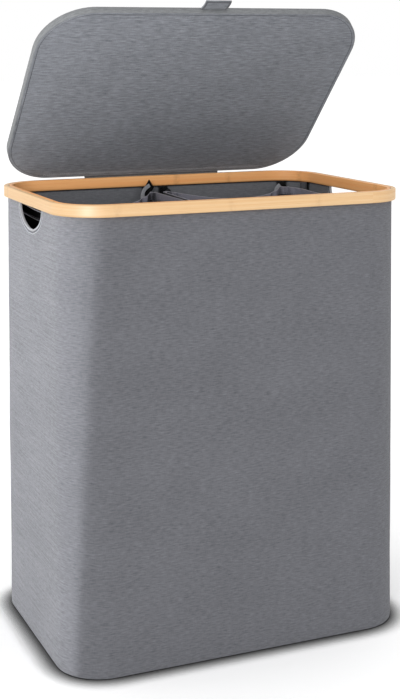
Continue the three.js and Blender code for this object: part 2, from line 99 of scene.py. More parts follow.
def outline(left, right, front, back, cornerLeft, cornerRight, bowShare=0.0, steps=(14, 36, 22)):
    cornerSteps, longSteps, endSteps = steps
    corners = [
        (right - cornerRight, front + cornerRight, cornerRight, -90),
        (right - cornerRight, back - cornerRight, cornerRight, 0),
        (left + cornerLeft, back - cornerLeft, cornerLeft, 90),
        (left + cornerLeft, front + cornerLeft, cornerLeft, 180),
    ]
    points, normals = [], []
    for index, (x, y, radius, turn) in enumerate(corners):
        for step in range(cornerSteps + 1):
            angle = math.radians(turn + 90 * step / cornerSteps)
            points.append((x + radius * math.cos(angle), y + radius * math.sin(angle)))
            normals.append((math.cos(angle), math.sin(angle)))
        count = endSteps if index % 2 == 0 else longSteps
        x, y, radius, turn = corners[(index + 1) % 4]
        start, normal = points[-1], normals[-1]
        end = (x + radius * math.cos(math.radians(turn)), y + radius * math.sin(math.radians(turn)))
        for step in range(1, count):
            share = step / count
            points.append(tuple(a + (b - a) * share for a, b in zip(start, end)))
            normals.append(normal)
    points, normals = np.array(points), np.array(normals)
    bow = rim["bow"] * np.clip(1 - (points[:, 0] / (rim["width"] / 2)) ** 2, 0, None)
    points[:, 1] += np.sign(points[:, 1]) * bowShare * bow
    return points, normals


def rimOutline(inset, bowShare=1.0, steps=(14, 36, 22)):
    corner = rim["corner"] - inset
    halfWidth, halfDepth = rim["width"] / 2 - inset, rim["depth"] / 2 - inset
    return outline(-halfWidth, halfWidth, -halfDepth, halfDepth, corner, corner, bowShare, steps)


def wallOutline(inset, z):
    share = min(1.0, z / rim["low"])
    return rimOutline(inset - box["flare"] * (1 - share), share)


def bagOutline(side, inset, bowShare):
    steps = (28, 84, 60)
    outer = rim["width"] / 2 - bag["inset"] - inset
    inner = bag["gap"] / 2 + inset / 2
    corners = (rim["corner"] - bag["inset"], bag["innerCorner"])
    front = -rim["depth"] / 2 + bag["inset"] + inset
    if side < 0:
        return outline(-outer, -inner, front, -front, *corners, bowShare, steps)
    return outline(inner, outer, front, -front, *reversed(corners), bowShare, steps)


def lidOutline(inset):
    halfWidth = lid["width"] / 2 - inset
    front, back = -lid["gap"] - lid["length"] + inset, -lid["gap"] - inset
    corner = lid["corner"] - inset
    return outline(-halfWidth, halfWidth, front, back, corner, corner, 0.0, (20, 36, 22))[0]


# The middle of the rim's back edge bows outwards
def backEdge(x):
    return rim["depth"] / 2 + rim["bow"] * (1 - (x / (rim["width"] / 2)) ** 2)


def ring(points, z):
    height = np.broadcast_to(np.asarray(z, float), (len(points),))
    return np.column_stack([points, height])


def softNoise(x, y, z=0.0):
    return noise.noise(Vector((x, y, z)))


# Meshes


def enrol(piece, body, replaced=()):
    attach(piece, body)
    if replaced:
        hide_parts(*replaced)


def newObject(name, data):
    made = bpy.data.objects.new(name, data)
    bpy.context.scene.collection.objects.link(made)
    return made


def loosePiece(name, mesh, material, sharp=32):
    piece = newObject(name, mesh)
    mesh.materials.clear()
    mesh.materials.append(material)
    mesh.shade_smooth()
    if sharp:
        mesh.set_sharp_from_angle(angle=math.radians(sharp))
    return piece


def newPiece(name, mesh, material, body, slotName, *replaced):
    piece = loosePiece(name, mesh, material)
    enrol(piece, body, replaced)
    return piece


def meshFrom(name, verts, faces, loopUvs):
    mesh = bpy.data.meshes.new(name)
    mesh.from_pydata([tuple(v) for v in verts], [], faces)
    layer = mesh.uv_layers.new(name="cloth")
    layer.data.foreach_set("uv", np.array(loopUvs, np.float32).ravel())
    bm = bmesh.new()
    bm.from_mesh(mesh)
    bmesh.ops.recalc_face_normals(bm, faces=bm.faces)
    bm.to_mesh(mesh)
    bm.free()
    mesh.update()
    return mesh


# Lengths along a closed line of points, from 0 to the whole way round
def lengthsAround(points):
    steps = np.linalg.norm(np.roll(points, -1, 0) - points, axis=1)
    return np.concatenate([[0], np.cumsum(steps)])


# Joins rings of points into a mesh. The uv of each face is in metres: u runs along the
# rings and v across them.
def skin(name, rings, looped=False, capped=False):
    rings = [np.asarray(r, float) for r in rings]
    count = len(rings[0])
    u = lengthsAround(rings[len(rings) // 2])
    v = [0.0]
    for low, high in zip(rings, rings[1:] + ([rings[0]] if looped else [])):
        v.append(v[-1] + np.linalg.norm(high - low, axis=1).mean())
    verts = np.concatenate(rings)
    faces, uvs = [], []
    for band in range(len(rings) if looped else len(rings) - 1):
        low, high = band * count, ((band + 1) % len(rings)) * count
        for i in range(count):
            j = (i + 1) % count
            faces.append((low + i, low + j, high + j, high + i))
            uvs += [(u[i], v[band]), (u[i + 1], v[band]), (u[i + 1], v[band + 1]), (u[i], v[band + 1])]
    for which in (0, -1) if capped else ():
        base = 0 if which == 0 else (len(rings) - 1) * count
        edge = rings[which]
        verts = np.concatenate([verts, [edge.mean(0)]])
        for i in range(count):
            j = (i + 1) % count
            faces.append((base + i, base + j, len(verts) - 1))
            uvs += [tuple(edge[i][:2]), tuple(edge[j][:2]), tuple(edge.mean(0)[:2])]
    return meshFrom(name, verts, faces, uvs)


# A strip swept along a path: at each point the profile is placed by two directions
def sweep(name, path, across, outward, profile):
    rings = []
    for point, a, o in zip(path, across, outward):
        rings.append([np.asarray(point) + np.asarray(a) * x + np.asarray(o) * y for x, y in profile])
    steps = np.linalg.norm(np.diff(np.asarray(path), axis=0), axis=1)
    u = np.concatenate([[0], np.cumsum(steps)])
    v = lengthsAround(np.array(profile))
    count = len(profile)
    faces, uvs = [], []
    for i in range(len(path) - 1):
        for k in range(count):
            n = (k + 1) % count
            faces.append((i * count + k, i * count + n, (i + 1) * count + n, (i + 1) * count + k))
            uvs += [(u[i], v[k]), (u[i], v[k + 1]), (u[i + 1], v[k + 1]), (u[i + 1], v[k])]
    for end in (0, len(path) - 1):
        faces.append(tuple(end * count + k for k in range(count)))
        uvs += [(u[end] + p[0], p[1]) for p in profile]
    return meshFrom(name, np.array(rings).reshape(-1, 3), faces, uvs)


def roundRect(width, height, radius, steps=3):
    points = []
    for sx, sy, turn in ((1, -1, -90), (1, 1, 0), (-1, 1, 90), (-1, -1, 180)):
        for step in range(steps + 1):
            angle = math.radians(turn + 90 * step / steps)
            points.append((
                sx * (width / 2 - radius) + radius * math.cos(angle),
                sy * (height / 2 - radius) + radius * math.sin(angle),
            ))
    return points


def circle(x, y, z, halfWidth, halfDepth, steps):
    turn = np.linspace(0, 2 * math.pi, steps, endpoint=False)
    return ring(np.column_stack([x + halfWidth * np.cos(turn), y + halfDepth * np.sin(turn)]), z)


def lathe(name, profile, centre):
    rings = [circle(*centre, height, radius, radius, 28) for radius, height in profile]
    return skin(name, rings, looped=True)


# Lays the uv map flat on a mesh, in metres
def planUv(mesh):
    layer = mesh.uv_layers["cloth"].data
    for loop in mesh.loops:
        layer[loop.index].uv = mesh.vertices[loop.vertex_index].co.xy
    return mesh


def applyModifiers(piece):
    graph = bpy.context.evaluated_depsgraph_get()
    mesh = bpy.data.meshes.new_from_object(
        piece.evaluated_get(graph), preserve_all_data_layers=True, depsgraph=graph
    )
    piece.modifiers.clear()
    piece.data = mesh


def addModifier(piece, name, kind, **settings):
    modifier = piece.modifiers.new(name, kind)
    for key, value in settings.items():
        setattr(modifier, key, value)


def subtract(piece, cutters):
    for cutter in cutters:
        addModifier(piece, "cut", "BOOLEAN", operation="DIFFERENCE", solver="EXACT", object=cutter)
    applyModifiers(piece)
    piece.data.set_sharp_from_angle(angle=math.radians(32))


# A CAD node's own shape with its edges rounded
def dress(node, name, material, body, edge):
    mesh = nodes[node].data.copy()
    mesh.name = name
    bm = bmesh.new()
    bm.from_mesh(mesh)
    bmesh.ops.remove_doubles(bm, verts=bm.verts, dist=1e-6)
    bmesh.ops.dissolve_limit(bm, angle_limit=math.radians(1), verts=bm.verts, edges=bm.edges)
    bmesh.ops.recalc_face_normals(bm, faces=bm.faces)
    bm.to_mesh(mesh)
    bm.free()
    if "custom_normal" in mesh.attributes:
        mesh.attributes.remove(mesh.attributes["custom_normal"])
    piece = loosePiece(name, mesh, material, None)
    addModifier(
        piece, "edges", "BEVEL", width=edge, segments=2, limit_method="ANGLE", angle_limit=math.radians(30)
    )
    applyModifiers(piece)
    piece.data.shade_smooth()
    piece.data.set_sharp_from_angle(angle=math.radians(40))
    enrol(piece, body, (node,))


# Node building: an input takes a value or another node's output


def feed(tree, socket, value):
    if isinstance(value, bpy.types.NodeSocket):
        tree.links.new(value, socket)
    else:
        socket.default_value = value


def addNode(tree, kind, inputs=None, **settings):
    made = tree.nodes.new(kind)
    for key, value in settings.items():
        setattr(made, key, value)
    for key, value in (inputs or {}).items():
        feed(tree, made.inputs[key], value)
    return made


def nodeGroup(name, kind, inputs, outputs):
    tree = bpy.data.node_groups.new(name, kind)
    for label, socketKind, value in inputs:
        socket = tree.interface.new_socket(label, in_out="INPUT", socket_type="NodeSocket" + socketKind)
        if value is not None:
            socket.default_value = value
    for label, socketKind in outputs:
        tree.interface.new_socket(label, in_out="OUTPUT", socket_type="NodeSocket" + socketKind)
    return tree, tree.nodes.new("NodeGroupInput").outputs, tree.nodes.new("NodeGroupOutput").inputs


def maths(tree, operation, a, b=0.0, clamp=False):
    made = addNode(tree, "ShaderNodeMath", {0: a, 1: b}, operation=operation, use_clamp=clamp)
    return made.outputs[0]


def times(tree, a, b, clamp=False):
    return maths(tree, "MULTIPLY", a, b, clamp)


def plus(tree, a, b, clamp=False):
    return maths(tree, "ADD", a, b, clamp)


def minus(tree, a, b, clamp=False):
    return maths(tree, "SUBTRACT", a, b, clamp)


def mixColour(tree, fac, first, second, blend="MIX"):
    return addNode(tree, "ShaderNodeMixRGB", {0: fac, 1: first, 2: second}, blend_type=blend).outputs[0]


def stretched(tree, vector, scale):
    return addNode(tree, "ShaderNodeVectorMath", {0: vector, 1: scale}, operation="MULTIPLY").outputs[0]


def axes(tree, vector):
    return addNode(tree, "ShaderNodeSeparateXYZ", {0: vector}).outputs


def coordinates(tree, kind="UV"):
    return addNode(tree, "ShaderNodeTexCoord").outputs[kind]


def stretchedNoise(tree, vector, scale, detail=2.0, rough=0.5):
    given = {"Vector": stretched(tree, vector, scale), "Scale": 1.0, "Detail": detail, "Roughness": rough}
    return addNode(tree, "ShaderNodeTexNoise", given).outputs["Fac"]


# Each stop of a ramp is a place with a grey or a colour
def ramp(tree, fac, stops):
    made = addNode(tree, "ShaderNodeValToRGB", {"Fac": fac})
    marks = made.color_ramp.elements
    tones = [(place, (*((tone,) * 3 if isinstance(tone, float) else tone), 1)) for place, tone in stops]
    for mark, (place, tone) in zip(marks, (tones[0], tones[-1])):
        mark.position, mark.color = place, tone
    for place, tone in tones[1:-1]:
        marks.new(place).color = tone
    return made.outputs["Color"]


def linear(*values):
    shares = [v / 255 for v in values]
    return tuple(v / 12.92 if v <= 0.04045 else ((v + 0.055) / 1.055) ** 2.4 for v in shares)


def bump(tree, shader, height, strength, distance):
    made = addNode(tree, "ShaderNodeBump", {"Strength": strength, "Distance": distance, "Height": height})
    feed(tree, shader.inputs["Normal"], made.outputs["Normal"])


# Plain weave: round threads that go over and under each other, pitch in metres
def makeWeaveGroup():
    tree, given, result = nodeGroup(
        "PlainWeave", "ShaderNodeTree", [("Vector", "Vector", None), ("Pitch", "Float", 0.001)],
        [("Height", "Float")],
    )
    split = axes(tree, given["Vector"])
    cells = [maths(tree, "DIVIDE", split[axis], given["Pitch"]) for axis in (0, 1)]
    rounds = [maths(tree, "SINE", times(tree, maths(tree, "FRACT", cell), math.pi)) for cell in cells]
    row, column = (maths(tree, "FLOOR", cell) for cell in cells)
    parity = maths(tree, "PINGPONG", plus(tree, row, column), 1.0)
    over = times(tree, rounds[0], parity)
    under = times(tree, rounds[1], minus(tree, 1.0, parity))
    feed(tree, result["Height"], plus(tree, over, under))
    return tree


# Yarn colour of a melange cloth: streaks along both threads, slubs, broad weft streaks and
# a slow cloud
def makeYarnGroup():
    tree, given, result = nodeGroup(
        "YarnStreaks", "ShaderNodeTree",
        [("Vector", "Vector", None), ("Slub", "Float", 0.5), ("Fineness", "Float", 1.0),
         ("Weft", "Float", 0.0)],
        [("Fac", "Float")],
    )
    vector = given["Vector"]
    scaled = addNode(
        tree, "ShaderNodeVectorMath", operation="SCALE", inputs={0: vector, "Scale": given["Fineness"]}
    ).outputs[0]
    along = stretchedNoise(tree, scaled, (120.0, 900.0, 1.0))
    upright = stretchedNoise(tree, vector, (950.0, 130.0, 1.0))
    slubs = stretchedNoise(tree, scaled, (82.0, 460.0, 1.0), 1.0)
    weft = stretchedNoise(tree, vector, (12.0, 480.0, 1.0), 1.0)
    cloud = stretchedNoise(tree, vector, (11.0, 16.0, 1.0), 3.0)
    total = plus(tree, times(tree, along, 0.85), times(tree, upright, 0.35))
    total = plus(tree, total, times(tree, minus(tree, slubs, 0.5), given["Slub"]))
    total = plus(tree, total, times(tree, minus(tree, weft, 0.5), given["Weft"]))
    total = plus(tree, total, times(tree, cloud, 0.25))
    feed(tree, result["Fac"], minus(tree, total, 0.225, clamp=True))
    return tree


weaveGroup = makeWeaveGroup()
yarnGroup = makeYarnGroup()


def newMaterial(name, roughness, specular=0.3, metallic=0.0, sheen=0.0, coat=0.0):
    material = bpy.data.materials.new(name)
    material.use_nodes = True
    tree = material.node_tree
    shader = tree.nodes["Principled BSDF"]
    settings = {
        "Roughness": roughness, "Specular IOR Level": specular, "Metallic": metallic,
        "Sheen Weight": sheen, "Sheen Roughness": 0.5, "Coat Weight": coat,
    }
    for label, value in settings.items():
        shader.inputs[label].default_value = value
    return material, tree, shader


# Painted shade: darkens a colour by ambient occlusion where other surfaces stand closer than the reach
def paintHollowShade(tree, colour, reach):
    near = addNode(tree, "ShaderNodeAmbientOcclusion", {"Distance": reach}, samples=8).outputs["AO"]
    dim = ramp(tree, near, [(0.3, 0.06), (0.6, 0.14), (0.85, 1.0)])
    return mixColour(tree, 1.0, colour, dim, "MULTIPLY")


# Painted shade: the outside of a bag's end wall, which shows only through a hand cut-out, is darkened near
# black, and its sheen and specular are taken down with it
def endWallShadeMask(tree):
    place = axes(tree, coordinates(tree, "Object"))
    facing = axes(tree, addNode(tree, "ShaderNodeNewGeometry").outputs["Normal"])
    return ramp(tree, times(tree, place["X"], facing["X"]), [(0.08, 1.0), (0.16, 0.02)])


def clothMaterial(
    name, dark, light, pitch, slub=0.6, depth=0.35, roughness=0.92, sheen=0.15, space="UV", reach=0.0,
    endWallShade=False, fineness=1.0, endWeft=0.0,
):
    material, tree, shader = newMaterial(name, roughness, 0.2, sheen=sheen)
    vector = coordinates(tree, space)
    threads = {"Vector": vector, "Slub": slub, "Fineness": fineness}
    if endWeft:  # broad weft streaks on the two end walls alone
        farOut = maths(tree, "ABSOLUTE", axes(tree, coordinates(tree, "Object"))["X"])
        threads["Weft"] = times(tree, ramp(tree, farOut, [(0.250, 0.0), (0.258, 1.0)]), endWeft)
    yarn = addNode(tree, "ShaderNodeGroup", threads, node_tree=yarnGroup).outputs["Fac"]
    given = {"Vector": vector, "Pitch": pitch}
    weave = addNode(tree, "ShaderNodeGroup", given, node_tree=weaveGroup).outputs["Height"]
    dark, light = linear(*dark), linear(*light)
    middle = tuple((a + b) / 2 for a, b in zip(dark, light))
    colour = ramp(tree, yarn, [(0.15, dark), (0.5, middle), (0.85, light)])
    hollow = plus(tree, times(tree, weave, 0.75), 0.35, clamp=True)
    result = mixColour(tree, 0.28, colour, hollow, "MULTIPLY")
    # painted shade in hollows, near other surfaces
    if reach:
        result = paintHollowShade(tree, result, reach)
    # painted shade on the bag's end walls, seen through the cut-outs
    if endWallShade:
        mask = endWallShadeMask(tree)
        result = mixColour(tree, 1.0, result, mask, "MULTIPLY")
        for label in ("Sheen Weight", "Specular IOR Level"):
            socket = shader.inputs[label]
            feed(tree, socket, times(tree, mask, socket.default_value))
    feed(tree, shader.inputs["Base Color"], result)
    bump(tree, shader, plus(tree, weave, times(tree, yarn, 0.8)), depth, pitch * 0.5)
    return material


def bambooMaterial(name, tones, growthMarks, strength, lowEdgeShade):
    material, tree, shader = newMaterial(name, 0.48, 0.35, coat=0.06)
    shader.inputs["Coat Roughness"].default_value = 0.3
    vector = coordinates(tree)
    fibres = stretchedNoise(tree, vector, (7.0, 1500.0, 1.0), 3.0, 0.6)
    bands = stretchedNoise(tree, vector, (2.2, 210.0, 1.0))
    flecks = stretchedNoise(tree, vector, (45.0, 2600.0, 1.0), 1.0)
    total = plus(tree, times(tree, fibres, 0.55), times(tree, bands, 0.45))
    colour = ramp(tree, total, list(zip((0.30, 0.50, 0.72), (linear(*tone) for tone in tones))))
    # growth marks: soft brown smudges at their places along the strip
    wobble = times(tree, minus(tree, fibres, 0.5), 0.006)
    place = plus(tree, axes(tree, vector)[0], wobble)
    mark = 0.0
    for spot in growthMarks:
        near = maths(tree, "ABSOLUTE", minus(tree, place, spot))
        soft = minus(tree, 1.0, maths(tree, "DIVIDE", near, 0.0075), clamp=True)
        mark = maths(tree, "MAXIMUM", mark, soft)
    patch = stretchedNoise(tree, vector, (160.0, 190.0, 1.0))
    patch = times(tree, minus(tree, patch, 0.30, clamp=True), 2.6, clamp=True)
    mark = times(tree, mark, patch)
    colour = mixColour(tree, times(tree, mark, strength), colour, (*linear(158, 104, 60), 1))
    fleck = times(tree, minus(tree, flecks, 0.64, clamp=True), 3.0, clamp=True)
    colour = mixColour(tree, fleck, colour, (*linear(186, 134, 84), 1))
    # painted shade: the strip darkens towards its lower edge
    height = axes(tree, coordinates(tree, "Object"))["Z"]
    rise = maths(tree, "DIVIDE", minus(tree, height, rim["low"]), 0.0035, clamp=True)
    shade = ramp(tree, rise, [(0.0, lowEdgeShade), (1.0, 1.0)])
    feed(tree, shader.inputs["Base Color"], mixColour(tree, 1.0, colour, shade, "MULTIPLY"))
    bump(tree, shader, plus(tree, fibres, times(tree, mark, 0.5)), 0.2, 0.0003)
    return material


def webbingMaterial(name, dark, light):
    material, tree, shader = newMaterial(name, 0.8, 0.25, sheen=0.1)
    vector = coordinates(tree, "Object")
    grain = stretchedNoise(tree, vector, (520.0, 520.0, 520.0))
    ribs = addNode(
        tree, "ShaderNodeTexWave", {"Vector": vector, "Scale": 260.0, "Distortion": 1.5, "Detail": 1.0},
        wave_type="BANDS", bands_direction="DIAGONAL",
    )
    total = plus(tree, times(tree, grain, 0.6), times(tree, ribs.outputs["Fac"], 0.4))
    tones = [(0.2, linear(*dark)), (0.8, linear(*light))]
    feed(tree, shader.inputs["Base Color"], ramp(tree, total, tones))
    bump(tree, shader, total, 0.4, 0.0004)
    return material


# A finish with one fine grain: its places on the ramp, its two tones and its bump
def grainMaterial(name, dark, light, kind):
    material, tree, shader = newMaterial(name, kind["rough"], kind["specular"], kind.get("metallic", 0.0))
    vector = coordinates(tree, "Object")
    if "cells" in kind:
        cells = addNode(tree, "ShaderNodeTexVoronoi", {"Vector": vector, "Scale": kind["cells"]})
        grain = cells.outputs["Distance"]
    else:
        grain = stretchedNoise(tree, vector, kind["grain"], kind.get("detail", 2.0))
    tones = list(zip(kind.get("stops", (0.3, 0.7)), (linear(*dark), linear(*light))))
    feed(tree, shader.inputs["Base Color"], ramp(tree, grain, tones))
    bump(tree, shader, grain, *kind["bump"])
    return material


linen = clothMaterial("linen_melange", (97, 98, 103), (135, 136, 142), 0.00082, endWeft=0.8)
lidCloth = clothMaterial(
    "lid_melange", (88, 91, 97), (144, 147, 154), 0.00082, slub=0.6, fineness=0.7
)
gussetCloth = clothMaterial("lid_gusset_melange", (100, 102, 104), (140, 142, 144), 0.00082)
lidHem = clothMaterial("lid_dark_hem", (70, 71, 75), (96, 97, 102), 0.0006, slub=0.3)
# The lining, the bags and their hems are darkened with painted shade in their hollows; the bags' end walls
# also get painted shade
liningCloth = clothMaterial(
    "lining_cloth", (107, 109, 114), (138, 140, 145), 0.00082, slub=0.5, depth=0.3, reach=0.005
)
smooth = {"slub": 0.1, "roughness": 0.6, "sheen": 0.25, "endWallShade": True}
bagCloth = clothMaterial(
    "bag_polyester", (126, 125, 137), (146, 145, 157), 0.0005, depth=0.12, reach=0.07, **smooth
)
hemCloth = clothMaterial(
    "bag_hem", (126, 125, 137), (148, 147, 159), 0.0005, depth=0.15, reach=0.05, **smooth
)
# The hem edge is paler than the hem, partly as a painted highlight along its top edge; the same cloth makes
# the bag's corner seam cords
hemEdgeCloth = clothMaterial(
    "bag_hem_edge", (160, 159, 168), (182, 181, 190), 0.0005, slub=0.1, depth=0.15, roughness=0.7
)
bindingCloth = clothMaterial("binding_tape", (150, 152, 157), (184, 186, 191), 0.0006, slub=0.2, depth=0.25)
fine = {"pitch": 0.0004, "slub": 0.1, "depth": 0.2, "space": "Object"}
threadCloth = clothMaterial("thread_grey", (140, 141, 146), (168, 169, 174), roughness=0.7, **fine)
paleThread = clothMaterial("thread_pale", (168, 170, 175), (190, 192, 197), roughness=0.7, **fine)
# Dark cords that paint the shade in seams and grooves
seamShadeCloth = clothMaterial("seam_shadow", (52, 53, 57), (66, 67, 71), **fine)
lidSeamShadeCloth = clothMaterial("lid_seam_shadow", (40, 42, 45), (54, 56, 60), **fine)
darkThread = clothMaterial("thread_dark", (96, 95, 104), (118, 117, 126), roughness=0.7, **fine)
bamboo = {
    "rim_outer_hoop": bambooMaterial(
        "bamboo_outer_strip", ((235, 186, 132), (244, 202, 150), (251, 218, 175)),
        (0.131, 0.402, 0.655, 0.948, 1.273, 1.438, 1.572), 0.16, 0.95,
    ),
    # The inner strip is the same bamboo as the outer one: its deeper, more orange tones and darker lower
    # edge paint the shade and bounced light it gets
    "rim_inner_hoop": bambooMaterial(
        "bamboo_inner_shaded_strip", ((245, 166, 100), (250, 181, 115), (254, 199, 139)),
        (0.114, 0.352, 0.483, 0.575, 0.866, 1.121, 1.388), 0.42, 0.62,
    ),
}
webbing = webbingMaterial("grey_webbing", (112, 113, 118), (152, 153, 158))
blackWebbing = webbingMaterial("strap_webbing", (24, 24, 27), (42, 42, 46))
paleWebbing = webbingMaterial("loop_webbing", (134, 136, 141), (176, 178, 183))
moulded = {"rough": 0.5, "specular": 0.08, "grain": (900.0, 900.0, 900.0), "bump": (0.12, 0.0002)}
plastic = grainMaterial("black_plastic", (9, 9, 10), (15, 15, 17), moulded)
greyPlastic = grainMaterial("grey_plastic", (84, 85, 89), (98, 99, 103), moulded)
aluminium = grainMaterial("drawn_aluminium", (178, 181, 186), (208, 210, 214), {
    "rough": 0.34, "specular": 0.5, "metallic": 1.0, "grain": (1400.0, 1400.0, 12.0), "bump": (0.1, 0.0002),
})
fibreBoard = grainMaterial("fibre_board", (116, 88, 60), (150, 118, 84), {
    "rough": 0.9, "specular": 0.2, "grain": (420.0, 420.0, 420.0), "detail": 4.0, "bump": (0.2, 0.0004),
})
foam = grainMaterial("foam", (205, 205, 198), (236, 236, 232), {
    "rough": 0.95, "specular": 0.1, "cells": 700.0, "stops": (0.0, 0.6), "bump": (0.3, 0.0005),
})
print("materials made")


# Stitches: a thread bead at each step along a line of points


def makeStitchGroup():
    tree, given, result = nodeGroup(
        "StitchRow", "GeometryNodeTree",
        [("Geometry", "Geometry", None), ("Pitch", "Float", None), ("Length", "Float", None),
         ("Radius", "Float", None), ("Thread", "Material", None)],
        [("Geometry", "Geometry")],
    )

    def add(kind, inputs=None, **settings):
        return addNode(tree, kind, inputs, **settings).outputs[0]

    curve = add("GeometryNodeMeshToCurve", {"Mesh": given["Geometry"]})
    line = add("GeometryNodeResampleCurve", {"Curve": curve, "Length": given["Pitch"]}, mode="LENGTH")
    bead = add("GeometryNodeMeshUVSphere", {"Segments": 6, "Rings": 5, "Radius": 1.0})
    size = add("ShaderNodeCombineXYZ", {"X": given["Length"], "Y": given["Radius"], "Z": given["Radius"]})
    stitch = add("GeometryNodeTransform", {"Geometry": bead, "Scale": size})
    tangent = add("GeometryNodeInputTangent")
    aim = add("FunctionNodeAlignRotationToVector", {"Vector": tangent}, axis="X")
    row = add("GeometryNodeInstanceOnPoints", {"Points": line, "Instance": stitch, "Rotation": aim})
    real = add("GeometryNodeRealizeInstances", {"Geometry": row})
    sewn = add("GeometryNodeSetMaterial", {"Geometry": real, "Material": given["Thread"]})
    feed(tree, result["Geometry"], sewn)
    return tree


stitchGroup = makeStitchGroup()


def stitches(
    name, lines, body, material, pitch=0.0034, length=0.00115, radius=0.00032, closed=False
):
    verts, edges = [], []
    for line in lines:
        start = len(verts)
        verts += [tuple(p) for p in line]
        edges += [(start + i, start + i + 1) for i in range(len(line) - 1)]
        if closed:
            edges.append((start + len(line) - 1, start))
    mesh = bpy.data.meshes.new(name)
    mesh.from_pydata(verts, edges, [])
    piece = loosePiece(name, mesh, material, None)
    modifier = piece.modifiers.new("stitches", "NODES")
    modifier.node_group = stitchGroup
    sockets = [s.identifier for s in stitchGroup.interface.items_tree if s.in_out == "INPUT"][1:]
    for identifier, value in zip(sockets, (pitch, length, radius, material)):
        modifier[identifier] = value
    applyModifiers(piece)
    piece.data.shade_smooth()
    enrol(piece, body)


# Hand cut-outs


def cutoutCurve(grow, top, steps=18):
    half = cutout["halfWidth"] + grow
    tipZ = rim["low"] - cutout["depth"] - grow
    tipHalf = cutout["tip"] + grow / 2
    shoulderZ = rim["low"] + (tipZ - rim["low"]) * cutout["fullness"]
    points = []
    for step in range(steps + 1):
        t = step / steps
        a, b, c = (1 - t) ** 2, 2 * t * (1 - t), t * t
        points.append((-half * (a + b) - tipHalf * c, top * a + shoulderZ * b + tipZ * c))
    return points + [(-y, z) for y, z in reversed(points)]


def cutoutCutter(side):
    line = cutoutCurve(0.0024, rim["low"])
    above = rim["low"] + 0.0001
    loop = line + [(line[-1][0], above), (line[0][0], above)]
    ends = (rim["width"] / 2 + 0.004, rim["width"] / 2 - 0.014)
    rings = [[(side * x, y, z) for y, z in loop] for x in ends]
    return newObject("cutter", skin("cutter", rings, capped=True))


binding = {"inset": 0.00715, "width": 0.0041, "thickness": 0.0022, "round": 0.00075}


def makeBinding(side):
    node = "cutout_binding_" + sideWords[side]
    name = node + "_tape"
    line = np.array(cutoutCurve(0.0, rim["low"] - 0.0004, 26))
    tangents = np.gradient(line, axis=0)
    tangents /= np.linalg.norm(tangents, axis=1)[:, None]
    outward = np.column_stack([tangents[:, 1], -tangents[:, 0]])
    outward *= -1 if outward[0][0] * line[0][0] < 0 else 1
    x, half = side * (rim["width"] / 2 - binding["inset"]), binding["thickness"] / 2
    path = [(x, y + n[0] * half, z + n[1] * half) for (y, z), n in zip(line, outward)]
    profile = roundRect(binding["width"], binding["thickness"], binding["round"])
    mesh = sweep(name, path, [(side, 0, 0)] * len(path), [(0, *n) for n in outward], profile)
    newPiece(name, mesh, bindingCloth, "frame", "binding", node)
    trims = (("groove", 0.0036, seamShadeCloth, 0.0004), ("stitches", 0.0058, paleThread, 0.0005))
    for trim, grow, thread, radius in trims:
        line = cutoutCurve(grow, rim["low"] - 0.001, 26)
        insets = (box["cover"] - 0.0002, box["liningFace"] + 0.0002)
        rows = [[(side * (rim["width"] / 2 - inset), y, z) for y, z in line] for inset in insets]
        stitches(
            f"{node}_{trim}", rows, "frame", thread, pitch=0.0024, length=0.0012, radius=radius
        )


# The fabric box


def wallWave(x, y, z):
    fade = math.sin(math.pi * min(1.0, max(0.0, z / rim["low"]))) ** 0.6
    waves = softNoise(x * 7.5, y * 7.5, z * 5.0) + 0.4 * softNoise(x * 21, y * 21, z * 15)
    return box["wave"] * fade * waves


def wallRing(inset, z, wavy=False):
    points, normals = wallOutline(inset, z)
    if wavy:
        points = points + normals * np.array([wallWave(x, y, z) for x, y in points])[:, None]
    return ring(points, z)


# One cloth shell: up its outside, over the hem that the hoops pinch, and down its inside
def shellRings(outside, hemInsets, inside, upwards, downwards):
    rings = [wallRing(outside, z, True) for z in upwards]
    for inset, heights in zip(hemInsets, ((box["pinch"], box["hem"]), (box["hem"], box["pinch"]))):
        rings += [wallRing(inset, z) for z in heights]
    return rings + [wallRing(inside, z, True) for z in reversed(downwards)]


def makeBox():
    foot, face, liningFace = box["foot"], box["coverFace"], box["liningFace"]
    rows = [foot + (rim["low"] - foot) * i / 60 for i in range(61)]
    rings = []
    for share in (0.0, 0.35, 0.7, 1.0):
        angle = share * math.pi / 2
        rings.append(wallRing(box["cover"] + foot * (1 - math.sin(angle)), foot * (1 - math.cos(angle))))
    rings += shellRings(box["cover"], box["coverHem"], face, rows[1:], rows[1::2])
    rings.append(wallRing(face + 0.0006, 0.0014))
    cover = loosePiece("outer_cover_cloth", skin("outer_cover_cloth", rings, capped=True), linen)
    rows = [0.012 + (rim["low"] - 0.012) * i / 40 for i in range(41)]
    rings = [wallRing(box["lining"], 0.005)]
    rings += shellRings(box["lining"], box["liningHem"], liningFace, rows, rows)
    rings.append(wallRing(liningFace, 0.0058))
    lining = loosePiece("inner_lining_cloth", skin("inner_lining_cloth", rings, capped=True), liningCloth)
    cutters = [cutoutCutter(-1), cutoutCutter(1)]
    for piece in (cover, lining):
        subtract(piece, cutters)
    for cutter in cutters:
        bpy.data.objects.remove(cutter)
    enrol(cover, "frame", ("outer_cover",))
    enrol(lining, "frame", ("inner_lining",))


def makeHoop(name):
    low, high = rim["low"], rim["top"]
    size = hoops[name]
    rings = []
    for across, up in roundRect(size["thickness"], high - low, 0.0011, 4):
        points, _ = rimOutline(size["inset"] + size["thickness"] / 2 + across, 1.0, (26, 48, 28))
        rings.append(ring(points, (low + high) / 2 + up))
    newPiece(name + "_bent", skin(name, rings, looped=True), bamboo[name], "frame", "bamboo", name)


makeBox()
for side in sideWords:
    makeBinding(side)
for name in hoops:
    makeHoop(name)
print("box and rim made")


# Lid


